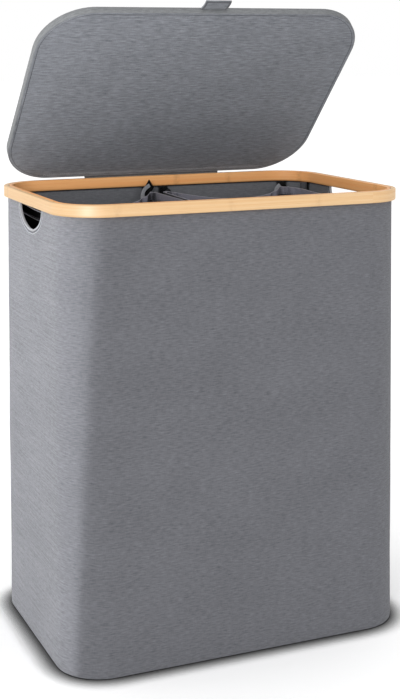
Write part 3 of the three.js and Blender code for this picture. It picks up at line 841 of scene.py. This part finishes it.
def onLid(x, y, z):
    return lidFrame @ Vector((x, y, z))


def lidPiece(name, mesh, material, slotName="linen", *replaced):
    mesh.transform(lidFrame)
    return newPiece(name, mesh, material, "lid", slotName, *replaced)


def crownAt(x, y, amount, wrinkle=0.0):
    a = abs(x) / (lid["width"] / 2)
    b = abs(y + lid["gap"] + lid["length"] / 2) / (lid["length"] / 2)
    edge = max(0.0, 1 - a**5) * max(0.0, 1 - b**5)
    return edge * (amount + wrinkle * softNoise(x * 11, y * 11, 3.0))


# A soft slab between two heights, round at its edge, with the lower and upper face crowned
def slab(name, inset, low, high, lowCrown, highCrown, wrinkle=0.0, edge=0.0006):
    points = lidOutline(inset)
    centre = points.mean(0)
    shares = [0.04, 0.12, 0.22, 0.32, 0.42, 0.52, 0.62, 0.71, 0.79, 0.86, 0.91, 0.95, 0.975, 0.99]

    def faceRing(share, z, crown, out):
        place = centre + (points - centre) * share
        return ring(place, [z + out * crownAt(x, y, crown, wrinkle) for x, y in place])

    rings = [faceRing(share, low, lowCrown, -1) for share in shares]
    for step in range(5):
        angle = math.pi * (step / 4 - 0.5)
        shrunk = lidOutline(inset + edge * (1 - math.cos(angle)))
        rings.append(ring(shrunk, (low + high) / 2 + (high - low) / 2 * math.sin(angle)))
    rings += [faceRing(share, high, highCrown, 1) for share in reversed(shares)]
    return planUv(skin(name, rings, capped=True))


# A band of closed rings that follows the lid's edge
def lidBand(name, rings, material, *replaced):
    lidPiece(name, skin(name, rings, looped=True), material, "linen", *replaced)


# A round cord that follows the lid's edge
def lidCord(name, inset, z, across, up, sides, material):
    rings = []
    for turn in range(sides):
        angle = 2 * math.pi * turn / sides
        rings.append(ring(lidOutline(inset + across * math.cos(angle)), z + up * math.sin(angle)))
    lidBand(name, rings, material)


# Insets from the lid's edge. The trims of the under side are raised, clear of the closed rim.
lidTrim = {
    "raise": 0.0006, "border": 0.0024, "seam": 0.0050, "welt": 0.0010, "groove": 0.0012, "stitch": 0.0030,
}


def makeLid():
    low, high = lid["low"], lid["high"]
    underCrown, topCrown = lid["underCrown"], lid["topCrown"]
    # each layer's inset, heights, crowns, wrinkle and edge
    layers = {
        "under_panel_cloth": (0.0016, low + 0.0004, low + 0.0015, underCrown, 0.0, 0.0006),
        "top_panel_cloth": (0.0016, high - 0.0012, high, 0.0, topCrown, 0.0011),
        "board_sheet": (0.0022, low + 0.0016, low + 0.0040, 0.0, 0.0),
        "padding_foam": (0.0024, low + 0.0044, high - 0.0016, 0.0, 0.0030, 0.0, 0.0015),
    }
    finishes = {"cloth": (lidCloth, "linen"), "sheet": (fibreBoard, "board"), "foam": (foam, "padding")}
    for layer, shape in layers.items():
        name = "lid_" + layer
        node, finish = name.rsplit("_", 1)
        made = lidPiece(name, slab(name, *shape), *finishes[finish], node)
    rings = []
    for across, up in roundRect(0.0013, high - low, 0.0006, 3):
        bulge = 0.0005 * (1 - (2 * up / (high - low)) ** 2)
        rings.append(ring(lidOutline(0.00065 - across - bulge), (low + high) / 2 + up))
    lidBand("lid_gusset_band", rings, gussetCloth, "lid_gusset")
    trims = (
        ("under", low + lidTrim["raise"], -1, -0.0003, underCrown),
        ("top", high, 1, 0.0007, topCrown),
    )
    for word, z, out, _, _ in trims:
        rings = []
        for across, up in roundRect(0.0032, 0.0009, 0.0004, 2):
            rings.append(ring(lidOutline(lidTrim["border"] + across), z + out * 0.0002 + up))
        lidBand(f"lid_border_{word}", rings, lidCloth)
        lidCord(f"lid_seam_{word}", lidTrim["seam"], z + out * 0.0001, 0.0004, 0.0005, 8, lidSeamShadeCloth)
    for word, z, out, lift, crown in trims:
        welt = lidTrim["welt"]
        lidCord(f"lid_welt_{word}", welt, z, 0.0007, 0.0007, 8, gussetCloth)
        lidCord(f"lid_groove_{word}", welt + lidTrim["groove"], z, 0.0004, 0.0004, 6, seamShadeCloth)
        line = lidOutline(lidTrim["stitch"])
        row = [onLid(x, y, z + lift + out * crownAt(x, y, crown)) for x, y in line]
        stitches(f"lid_stitches_{word}", [row], "lid", threadCloth, closed=True, radius=0.00026)
    rows = []
    for y in (-0.0088, -0.0118):
        xs = np.linspace(-0.185, 0.185, 41)
        rows.append([onLid(x, y, low + 0.0004 - crownAt(x, y, underCrown, 0.0006)) for x in xs])
    stitches("lid_hinge_stitches", rows, "lid", paleThread, pitch=0.0030, length=0.0012)


pullTab = {
    "width": 0.040, "length": 0.022, "thickness": 0.0022, "droop": 16, "sag": 0.0012, "steps": 12,
    "hemWidth": 0.0030, "hemInset": 0.0017,
}


def makePullTab():
    width, length, thickness = pullTab["width"], pullTab["length"], pullTab["thickness"]
    steps, inset, droop = pullTab["steps"], pullTab["hemInset"], math.radians(pullTab["droop"])
    base = Vector((0, -lid["gap"] - lid["length"] - 0.0002, lid["high"] - thickness))
    path, outward, rings = [], [], []
    for step in range(steps + 1):
        t = step / steps
        angle = droop * (0.7 + 0.5 * t)
        fall = -math.sin(droop) * length * t - pullTab["sag"] * math.sin(math.pi * t)
        path.append(base + Vector((0, -math.cos(droop) * length * t, fall)))
        outward.append((0, -math.sin(angle), math.cos(angle)))
        narrow, thin = (0.985, 0.5) if step == steps else (1, 1)
        rings.append([
            np.array(path[-1]) + np.array((1, 0, 0)) * x * narrow + np.array(outward[-1]) * y * thin
            for x, y in roundRect(width, thickness, 0.0007, 3)
        ])
    mesh = planUv(skin("lid_pull_tab_loop", rings, capped=True))
    lidPiece("lid_pull_tab_loop", mesh, lidCloth, "linen", "lid_pull_tab")
    # folded hems round three edges, each face
    along = (path[-1] - path[-2]).normalized()
    for out, word in ((-1, "under"), (1, "top")):
        face = [Vector(o) * out for o in outward[:steps]]
        line = [
            spot + Vector(o) * (thickness / 2) * out + Vector((-width / 2 + inset, 0, 0))
            for spot, o in zip(path[:steps], outward)
        ]
        line += [v + Vector((width - 2 * inset, 0, 0)) for v in reversed(line)]
        face += list(reversed(face))
        across = [(-1, 0, 0)] * steps + [(1, 0, 0)] * steps
        for corner in (steps - 1, steps):
            across[corner] = tuple((Vector(across[corner]) + along).normalized() * 1.2)
        name = f"lid_pull_tab_hem_{word}"
        hem = sweep(name, line, across, face, roundRect(pullTab["hemWidth"], 0.0005, 0.0002, 2))
        lidPiece(name, hem, lidHem)
        row = [lidFrame @ (v + f * 0.0004) for v, f in zip(line, face)]
        stitches(
            f"lid_pull_tab_stitches_{word}", [row], "lid", darkThread,
            pitch=0.0026, length=0.0009, radius=0.00022,
        )


# Offsets from the rim's back edge and heights, up the inside and over the rim
hingeStrip = {
    "width": 0.230, "thickness": 0.0012, "stations": 25, "behind": 0.0009, "bend": 0.6400,
    "overRim": (
        (-0.0050, 0.6095), (-0.0050, 0.6180), (-0.0050, 0.6270), (-0.0048, 0.6312),
        (-0.0022, 0.6322), (0.0004, 0.6326), (0.0009, 0.6345), (0.0009, 0.6400),
    ),
}


def makeHingeStrip():
    width, half, count = hingeStrip["width"], hingeStrip["thickness"] / 2, hingeStrip["stations"]
    behind, bend = hingeStrip["behind"], hingeStrip["bend"]
    _, hingeY, hingeZ = lid["hinge"]
    turn = math.radians(lid["open"])
    stations = [width * (i / (count - 1) - 0.5) for i in range(count)]
    rings = []
    for x in stations:
        back = backEdge(x)
        line = [(back + off, z) for off, z in hingeStrip["overRim"]]
        for t in (0.35, 0.7, 1.0):
            line.append((back + behind + (hingeY - back - behind) * t, bend + (hingeZ - bend) * t))
        for s in (0.0012, 0.0028, 0.0048, 0.0068):
            y = hingeY - behind * math.cos(turn) * 0.2 + math.sin(turn) * s
            line.append((y, hingeZ + math.cos(turn) * s))
        pairs = np.array(line)
        tangent = np.gradient(pairs, axis=0)
        tangent /= np.linalg.norm(tangent, axis=1)[:, None]
        normal = np.column_stack([tangent[:, 1], -tangent[:, 0]])
        ripple = 0.0002 * softNoise(x * 40, 1.0)
        outer = [(x, p[0] + n[0] * (half + ripple), p[1] + n[1] * half) for p, n in zip(pairs, normal)]
        inner = [(x, p[0] - n[0] * half, p[1] - n[1] * half) for p, n in zip(pairs, normal)]
        rings.append(outer + inner[::-1])
    piece = loosePiece("hinge_strip_cloth", skin("hinge_strip_cloth", rings, capped=True), linen)
    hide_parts("hinge_flap_rim", "hinge_flap_lid")
    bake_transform(piece)
    rows = [[(x, backEdge(x) - 0.0042, z) for x in stations] for z in (0.6120, 0.6290)]
    stitches("hinge_strip_stitches", rows, "frame", threadCloth)


makeLid()
makePullTab()
makeHingeStrip()
print("lid made")


# Liner bags


def bagSupports(side, points):
    found = []
    for end, place in hookPlaces:
        low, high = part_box(f"hook_{sideWords[side]}_{end}_{place}")
        spot = np.array([(low.x + high.x) / 2, (low.y + high.y) / 2])
        found.append(int(np.argmin(np.linalg.norm(points - spot, axis=1))))
    return sorted(found)


# A long side's hem hangs deepest nearer one of its hooks: two powers and the drop, by side
hemSag = {
    "outerDrop": 0.0045, "dividerDrop": 0.0015, "endPull": 0.0002, "longPull": 0.0040,
    "long": {-1: (0.85, 0.85, 0.028), 1: (1.15, 0.65, 0.017)},
}


# How far the hem sags and draws in between its hooks, for each point round the bag
def bagSag(side, points):
    supports = bagSupports(side, points)
    count = len(points)
    along = lengthsAround(points)
    sag, pull = np.zeros(count), np.zeros(count)
    for index, start in enumerate(supports):
        end = supports[(index + 1) % len(supports)]
        span = (along[end] - along[start]) % along[-1]
        middle = points[(start + ((end - start) % count) // 2) % count]
        for i in range(count):
            t = ((along[i] - along[start]) % along[-1]) / span
            if t > 1:
                continue
            if abs(middle[1]) < 0.09:  # an end wall or the wall at the divide
                shape = (4 * t * (1 - t)) ** 1.15
                sag[i] = hemSag["outerDrop" if abs(middle[0]) > 0.12 else "dividerDrop"] * shape
                pull[i] = hemSag["endPull"] * shape
            else:
                fromInner = t if abs(points[start][0]) < 0.1 else 1 - t
                rise, fall, drop = hemSag["long"][side]
                peak = rise / (rise + fall)
                shape = (fromInner / peak) ** rise * ((1 - fromInner) / (1 - peak)) ** fall
                sag[i] = drop * shape
                pull[i] = hemSag["longPull"] * shape
    return sag, pull


def makeBag(side):
    word = sideWords[side]
    body = f"bag_{word}"
    bottom, top, thickness = bag["bottom"], bag["top"], bag["hemThickness"]
    base, _ = bagOutline(side, 0.0, 1.0)
    sag, pull = bagSag(side, base)
    around = lengthsAround(base)
    along, total = around[:-1], around[-1]
    apart = [np.abs(along - along[spot]) for spot in bagSupports(side, base)]
    apart = [np.minimum(gap, total - gap) for gap in apart]

    # pleats that fan out below each hook and fade away downwards
    def pleats(share):
        drop = (1 - share) * (top - bottom)
        fade = max(0.0, 1 - drop / 0.10) ** 1.5
        width = 0.014 + drop * 0.12
        folds = sum(np.exp(-(gap / 0.034) ** 2) * np.sin(math.pi * gap / width) ** 2 for gap in apart)
        return 0.0042 * fade * folds

    # one ring round the bag, at a share of its height and at an inset from its outside
    def level(share, inset=0.0):
        outer, normals = bagOutline(side, bag["taper"] * (1 - share), share)
        high = min(1.0, max(0.0, (share - 0.80) / 0.05))
        flat = high * np.maximum(0, 1 - (np.abs(base[:, 1]) / 0.085) ** 6)  # where a handle lies
        depth = 0.0032 * math.sin(math.pi * min(1, share * 1.02)) ** 0.7
        offsets = []
        for i in range(len(outer)):
            turn = 2 * math.pi * along[i] / total
            x, y = math.cos(turn) * 2.6, math.sin(turn) * 2.6
            long = softNoise(x * 2.2 + 5 * side, y * 2.2, share * 1.6)
            fine = softNoise(x * 6.0, y * 6.0 + 3 * side, share * 3.5)
            fold = depth * (long + 0.45 * fine) + 0.0007 * fine * share
            offsets.append((fold - 0.0012) * (1 - flat[i]) - pull[i] * share**6 - inset)
        moved = outer + normals * (np.array(offsets) - pleats(min(1.0, share)))[:, None]
        return ring(moved, bottom + (top - sag - bottom) * share)

    def flatLevel(inset, z):
        made = level(0.0, inset)
        made[:, 2] = z
        return made

    def addPart(tail, rings, material, slotName, *replaced, **ends):
        name = f"{body}_{tail}"
        newPiece(name, skin(name, rings, **ends), material, body, slotName, *replaced)

    hemShare = 1 - bag["hem"] / (top - bottom)
    rows = [0.004, 0.010] + [0.02 + (hemShare - 0.022) * i / 46 for i in range(47)]
    folded = ((0.030, 0.0), (0.012, 0.0), (0.004, 0.0012))  # insets and heights of the bottom's rings
    rings = [flatLevel(inset, bottom + lift) for inset, lift in folded]
    rings += [level(share) for share in rows]
    rings += [level(share, bag["thickness"]) for share in reversed(rows)]
    rings.append(flatLevel(bag["thickness"] + 0.014, bottom + bag["thickness"] + 0.0004))
    addPart("cloth", rings, bagCloth, "bag", body + "_body", capped=True)
    rings = []
    for across, up in roundRect(thickness, bag["hem"], 0.0008, 3):
        share = (hemShare + 1) / 2 + up / bag["hem"] * (1 - hemShare)
        rings.append(level(share, thickness / 2 - across - 0.0001))
    addPart("hem_band", rings, hemCloth, "hem", body + "_hem", looped=True)
    rings = []
    for turn in range(6):
        angle = 2 * math.pi * turn / 6
        inset = thickness / 2 - 0.0001 - 0.0009 * math.cos(angle)
        rings.append(level(1 + 0.0011 * math.sin(angle), inset))
    addPart("hem_edge", rings, hemEdgeCloth, "hem", looped=True)
    rows = [level(hemShare + 0.0035, inset) for inset in (thickness + 0.0001, -0.0002)]
    stitches(
        f"{body}_hem_stitches", rows, body, darkThread,
        pitch=0.0036, length=0.0012, radius=0.00028, closed=True,
    )
    cords = [level(share, -0.0004) for share in np.linspace(0.02, 0.978, 60)]
    for place, x in (("outer", side), ("inner", 0)):
        spot = int(np.argmin(np.abs(base[:, 0] - x) * 10 + np.abs(base[:, 1] - 0.010)))
        rings = []
        for x, y, z in (cord[spot] for cord in cords):
            rings.append(circle(x, y, z, 0.0007, 0.0009, 6))
        addPart(f"seam_{place}", rings, hemEdgeCloth, "bag", capped=True)
    for place in ("outer", "inner"):
        makeHandle(side, place)
    for end, place in hookPlaces:
        makeHookLoop(side, end, place)


handle = {"halfSpan": 0.048, "leg": 0.0222, "width": 0.0236, "thickness": 0.0014, "bulge": 0.0022}


def makeHandle(side, place):
    node = f"bag_{sideWords[side]}_handle_{place}"
    low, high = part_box(node)
    x = (low.x + high.x) / 2
    top = high.z - 0.0005
    half, leg, legSteps, bendSteps = handle["halfSpan"], handle["leg"], 8, 32
    inward = -side if place == "outer" else side
    path = [(x, -half, top - leg * step / legSteps) for step in range(legSteps)]
    across = [(0, -1, 0)] * legSteps
    for step in range(bendSteps + 1):
        angle = math.pi * step / bendSteps
        path.append((x, -half * math.cos(angle), top - leg - half * math.sin(angle)))
        across.append((0, -math.cos(angle), -math.sin(angle)))
    path += [(x, half, top - leg + leg * step / legSteps) for step in range(1, legSteps + 1)]
    across += [(0, 1, 0)] * legSteps
    path = np.array(path)
    count = len(path)
    for i in range(count):
        path[i, 0] += inward * handle["bulge"] * math.sin(math.pi * (i / (count - 1))) ** 2
    profile = roundRect(handle["width"], handle["thickness"], 0.0005, 2)
    mesh = sweep(node + "_loop", path, across, [(inward, 0, 0)] * count, profile)
    newPiece(node + "_loop", mesh, webbing, node, "webbing", node)
    rows = []
    for y in (-half, half):
        for edge in (-0.0095, 0.0095):
            rows.append([(x + inward * 0.0009, y + edge, top - 0.001 - 0.010 * k / 6) for k in range(7)])
    stitches(node + "_stitches", rows, node, darkThread, pitch=0.0026, length=0.0009)


# The loop's three knots: how far across, and how far below the bag's top or the hook's peak
hookLoop = {
    "tallAcross": (-0.006, -0.020, -0.0010), "tallDrop": (0.026, 0.0190, 0.0100),
    "lowAcross": (0.005, 0.014, 0.0035), "lowDrop": (0.026, 0.0160, 0.0075),
    "over": ((0.0009, 0.0003), (0.0014, 0.0013), (0.0014, 0.0026), (0.0008, 0.0036)),
    "steps": 18, "width": 0.0120, "narrowed": 0.006, "thickness": 0.0012,
}


# A webbing loop, sewn to the outside of the hem: it leans across the hook's head and turns over
# the head's shoulder
def makeHookLoop(side, end, place):
    word = sideWords[side]
    ys = 1 if end == "back" else -1
    inward = Vector((0, -ys, 0))
    if place == "outer":
        turn = math.radians(bag["hookTurn"])
        inward = Vector((-side * math.cos(turn), -ys * math.sin(turn), 0))
    corners = [v.co for v in nodes[f"hook_{word}_{end}_{place}"].data.vertices]
    reach = max(inward.dot(co) for co in corners)
    wide = inward.cross(Vector((0, 0, 1)))
    middle = wide * ((min(wide.dot(co) for co in corners) + max(wide.dot(co) for co in corners)) / 2)
    right = wide if wide.x > 0 else -wide
    peak = max(co.z for co in corners)
    dark = place == "inner" and side > 0
    if place == "inner" and side < 0:
        offs, drops = hookLoop["tallAcross"], hookLoop["tallDrop"]
    else:
        offs, drops = [off * (1 if dark else -1) for off in hookLoop["lowAcross"]], hookLoop["lowDrop"]
    heights = [start - drop for start, drop in zip((bag["top"], peak, peak), drops)]
    steps = hookLoop["steps"]
    spots = []
    for step in range(steps + 1):
        t = step / steps
        shares = ((1 - t) ** 2, 2 * t * (1 - t), t * t)
        off = sum(part * knot for part, knot in zip(shares, offs))
        z = sum(part * knot for part, knot in zip(shares, heights))
        spots.append(middle + right * off + inward * (reach + 0.0009) + Vector((0, 0, z)))
    slope = (spots[-1] - spots[-2]).normalized()
    last = spots[-1]
    spots += [last + slope * ahead - inward * back for ahead, back in hookLoop["over"]]
    widths = [slope.cross(inward).normalized()] * len(spots)
    for step in range(steps - 1):
        widths[step] = (spots[step + 1] - spots[step]).normalized().cross(inward)
    narrowed = hookLoop["narrowed"]
    rings = []
    for step, spot in enumerate(spots):
        before, after = spots[max(0, step - 1)], spots[min(len(spots) - 1, step + 1)]
        face = widths[step].cross((after - before).normalized()).normalized()
        width = narrowed if step > 8 else hookLoop["width"] - narrowed * step / 9
        profile = roundRect(width, hookLoop["thickness"], 0.0004, 2)
        rings.append([spot + widths[step] * x + face * y for x, y in profile])
    name = f"hook_tab_{word}_{end}_{place}"
    cloth = blackWebbing if dark else paleWebbing
    newPiece(name, skin(name, rings, capped=True), cloth, f"bag_{word}", "webbing")


for side in sideWords:
    makeBag(side)
print("bags made")


# Clips, straps and rods

# Radii of the rod, its cap and its sleeve, the rod's chamfer and the thickness of the cap's roof
rod = {
    "radius": 0.004, "chamfer": 0.0004, "cap": 0.006, "capBore": 0.0043, "capRoof": 0.004,
    "sleeve": (0.0063, 0.0053),
}


def makeClip(word, end, place):
    tail = f"{word}_{end}_{place}"
    dress(f"hook_{tail}", f"hook_{tail}_moulded", plastic, f"bag_{word}", 0.00045)
    dress(f"keeper_{tail}", f"keeper_{tail}_moulded", plastic, "frame", 0.0004)
    dress(f"rim_strap_{tail}", f"rim_strap_{tail}_woven", blackWebbing, "frame", 0.0003)


def makeRod(end, word):
    tail = f"{end}_{word}"
    low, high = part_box(f"support_rod_{tail}")
    centre = ((low.x + high.x) / 2, (low.y + high.y) / 2)
    axis = 0.00005  # a lathed shape closes at its axis

    def turned(name, profile, material, slotName, node):
        newPiece(name, lathe(name, profile, centre), material, "frame", slotName, node)

    radius, chamfer = rod["radius"], rod["chamfer"]
    shaft = [(axis, low.z), (0.0036, low.z), (radius, low.z + chamfer)]
    shaft += [(radius, high.z - chamfer), (0.0036, high.z), (axis, high.z)]
    turned(f"support_rod_{tail}_tube", shaft, aluminium, "aluminium", f"support_rod_{tail}")
    low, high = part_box(f"rod_cap_{tail}")
    outer, bore, roof = rod["cap"], rod["capBore"], high.z - rod["capRoof"]
    turned(f"rod_cap_{tail}_moulded", [
        (axis, high.z), (0.0054, high.z), (outer, high.z - 0.0006), (outer, low.z + 0.0008), (0.0055, low.z),
        (0.0045, low.z), (bore, low.z + 0.0003), (bore, roof), (axis, roof),
    ], greyPlastic, "plastic", f"rod_cap_{tail}")
    low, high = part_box(f"rod_sleeve_{tail}")
    profile = []
    shares = [step / 24 for step in range(25)]
    for radius, soft, upwards in zip(rod["sleeve"], (0.00035, 0.0003), (shares, [1 - t for t in shares])):
        for t in upwards:
            wave = soft * softNoise(t * 14, centre[0] * 9)
            profile.append((radius + wave, low.z + (high.z - low.z) * t))
    turned(f"rod_sleeve_{tail}_cloth", profile, liningCloth, "lining", f"rod_sleeve_{tail}")


for word in sideWords.values():
    for end in ("front", "back"):
        for place in ("outer", "inner"):
            makeClip(word, end, place)
        makeRod(end, word)
board = nodes["base_board"].data
board.materials.clear()
board.materials.append(fibreBoard)
print("clips and rods made")


# Floor, light and camera

# Watts, metres and degrees of each lamp; a small spread gives a beam with a soft edge. A lamp
# with "on" lights only the pieces whose names start so.
light = {
    "fill": {"place": (-2.1, -2.4, 1.6), "target": (0, 0, 0.4), "size": (2.0, 2.0), "power": 26},
    "beam": {
        "place": (-1.012, -0.230, 0.300), "target": (-0.287, 0.034, 0.300), "size": (0.41, 0.71),
        "power": 0.58, "spread": 1.9, "roll": -2.7, "on": ("outer_cover", "cutout_binding"),
    },
    "wall": {
        "place": (-0.95, 0.24, 0.90), "target": (-0.26, 0, 0.40), "size": (0.30, 0.30), "power": 3.4,
        "on": ("outer_cover", "cutout_binding"),
    },
    "side": {
        "place": (-0.95, 0.24, 0.90), "target": (-0.26, 0, 0.64), "size": (0.30, 0.30), "power": 0.6,
        "on": ("rim_outer_hoop",),
    },
    "lid": {
        "place": (-0.85, -0.80, 0.70), "target": (0, 0, 0.80), "size": (0.7, 0.7), "power": 10.2,
        "on": ("lid_",),
    },
    "hoop": {
        "place": (-0.75, -0.70, 1.0), "target": (0, 0.1, 0.64), "size": (0.6, 0.6), "power": 3.1,
        "on": ("rim_inner_hoop",),
    },
    "glint": {
        "place": (-1.05, -1.04, 0.50), "target": (-0.244, -0.161, 0.64), "size": (0.42, 0.42), "power": 25,
        "gloss": True, "on": ("rim_outer_hoop",),
    },
}
stage = {"world": 0.80, "floor": 30, "floorHeight": -0.0002, "contactReach": 0.034}


def straightRay(tree):
    path = addNode(tree, "ShaderNodeLightPath").outputs
    seen = plus(tree, path["Is Camera Ray"], path["Is Glossy Ray"])
    return plus(tree, seen, path["Is Transmission Ray"], clamp=True)


def makeFloor():
    mesh = bpy.data.meshes.new("floor")
    corners = [(x * stage["floor"], y * stage["floor"]) for x, y in ((-1, -1), (1, -1), (1, 1), (-1, 1))]
    mesh.from_pydata([(x, y, stage["floorHeight"]) for x, y in corners], [], [(0, 1, 2, 3)])
    floor = newObject("floor", mesh)
    material, tree, shader = newMaterial("floor_white", 0.9, 0.1)
    reach = {"Distance": stage["contactReach"]}
    # Painted contact shadow: for straight rays the floor's colour darkens with ambient occlusion near the
    # object
    contact = addNode(tree, "ShaderNodeAmbientOcclusion", reach, samples=12).outputs["AO"]
    shadow = ramp(tree, contact, [(0.42, 0.02), (0.56, 0.12), (0.70, 0.40), (0.84, 0.85), (0.97, 1.4)])
    colour = mixColour(tree, straightRay(tree), (0.9, 0.9, 0.9, 1), shadow)
    feed(tree, shader.inputs["Base Color"], colour)
    mesh.materials.append(material)


def makeWorld():
    world = bpy.data.worlds.new("studio")
    world.use_nodes = True
    tree = world.node_tree
    plain = tree.nodes["Background"]
    plain.inputs["Color"].default_value = (1, 1, 1, 1)
    plain.inputs["Strength"].default_value = stage["world"]
    white = addNode(tree, "ShaderNodeBackground", {"Color": (1, 1, 1, 1), "Strength": 1.0})
    sources = {0: straightRay(tree), 1: plain.outputs[0], 2: white.outputs[0]}
    mix = addNode(tree, "ShaderNodeMixShader", sources)
    feed(tree, tree.nodes["World Output"].inputs["Surface"], mix.outputs[0])
    bpy.context.scene.world = world


def areaLight(name):
    given = light[name]
    data = bpy.data.lights.new(name, "AREA")
    data.shape = "RECTANGLE"
    data.size, data.size_y = given["size"]
    data.energy = given["power"]
    data.spread = math.radians(given.get("spread", 180))
    lamp = newObject(name, data)
    lamp.location = given["place"]
    aim = (Vector(given["target"]) - Vector(given["place"])).to_track_quat("-Z", "Y")
    aim = aim @ Quaternion((0, 0, 1), math.radians(given.get("roll", 0)))
    lamp.rotation_euler = aim.to_euler()
    lamp.visible_camera = False
    lamp.visible_diffuse = not given.get("gloss", False)
    if "on" in given:
        lit = bpy.data.collections.new(f"{name}_lit")
        for piece in bpy.context.scene.objects:
            if piece.type == "MESH" and piece.name.startswith(given["on"]):
                lit.objects.link(piece)
        lamp.light_linking.receiver_collection = lit


# Angles in radians; the focal length and the optical centre's height are in pixels of the frame
camera = {
    "place": (-0.78583, -1.85917, 0.85949), "yaw": 0.4023, "pitch": 0.0902, "roll": 0.0027,
    "focal": 1354.53, "centreY": 167.76, "frameHeight": 699, "sensor": 36,
}


def makeCamera():
    height, sensor = camera["frameHeight"], camera["sensor"]
    data = bpy.data.cameras.new("camera")
    data.sensor_width = sensor
    data.lens = camera["focal"] / height * sensor
    data.shift_y = (camera["centreY"] - height / 2) / height
    data.clip_start = 0.05
    data.clip_end = 100
    shot = newObject("camera", data)
    shot.location = camera["place"]
    shot.rotation_euler = (math.pi / 2 - camera["pitch"], camera["roll"], -camera["yaw"])
    bpy.context.scene.camera = shot


makeFloor()
makeWorld()
for name in light:
    areaLight(name)
makeCamera()
bpy.context.scene.view_settings.view_transform = "Standard"
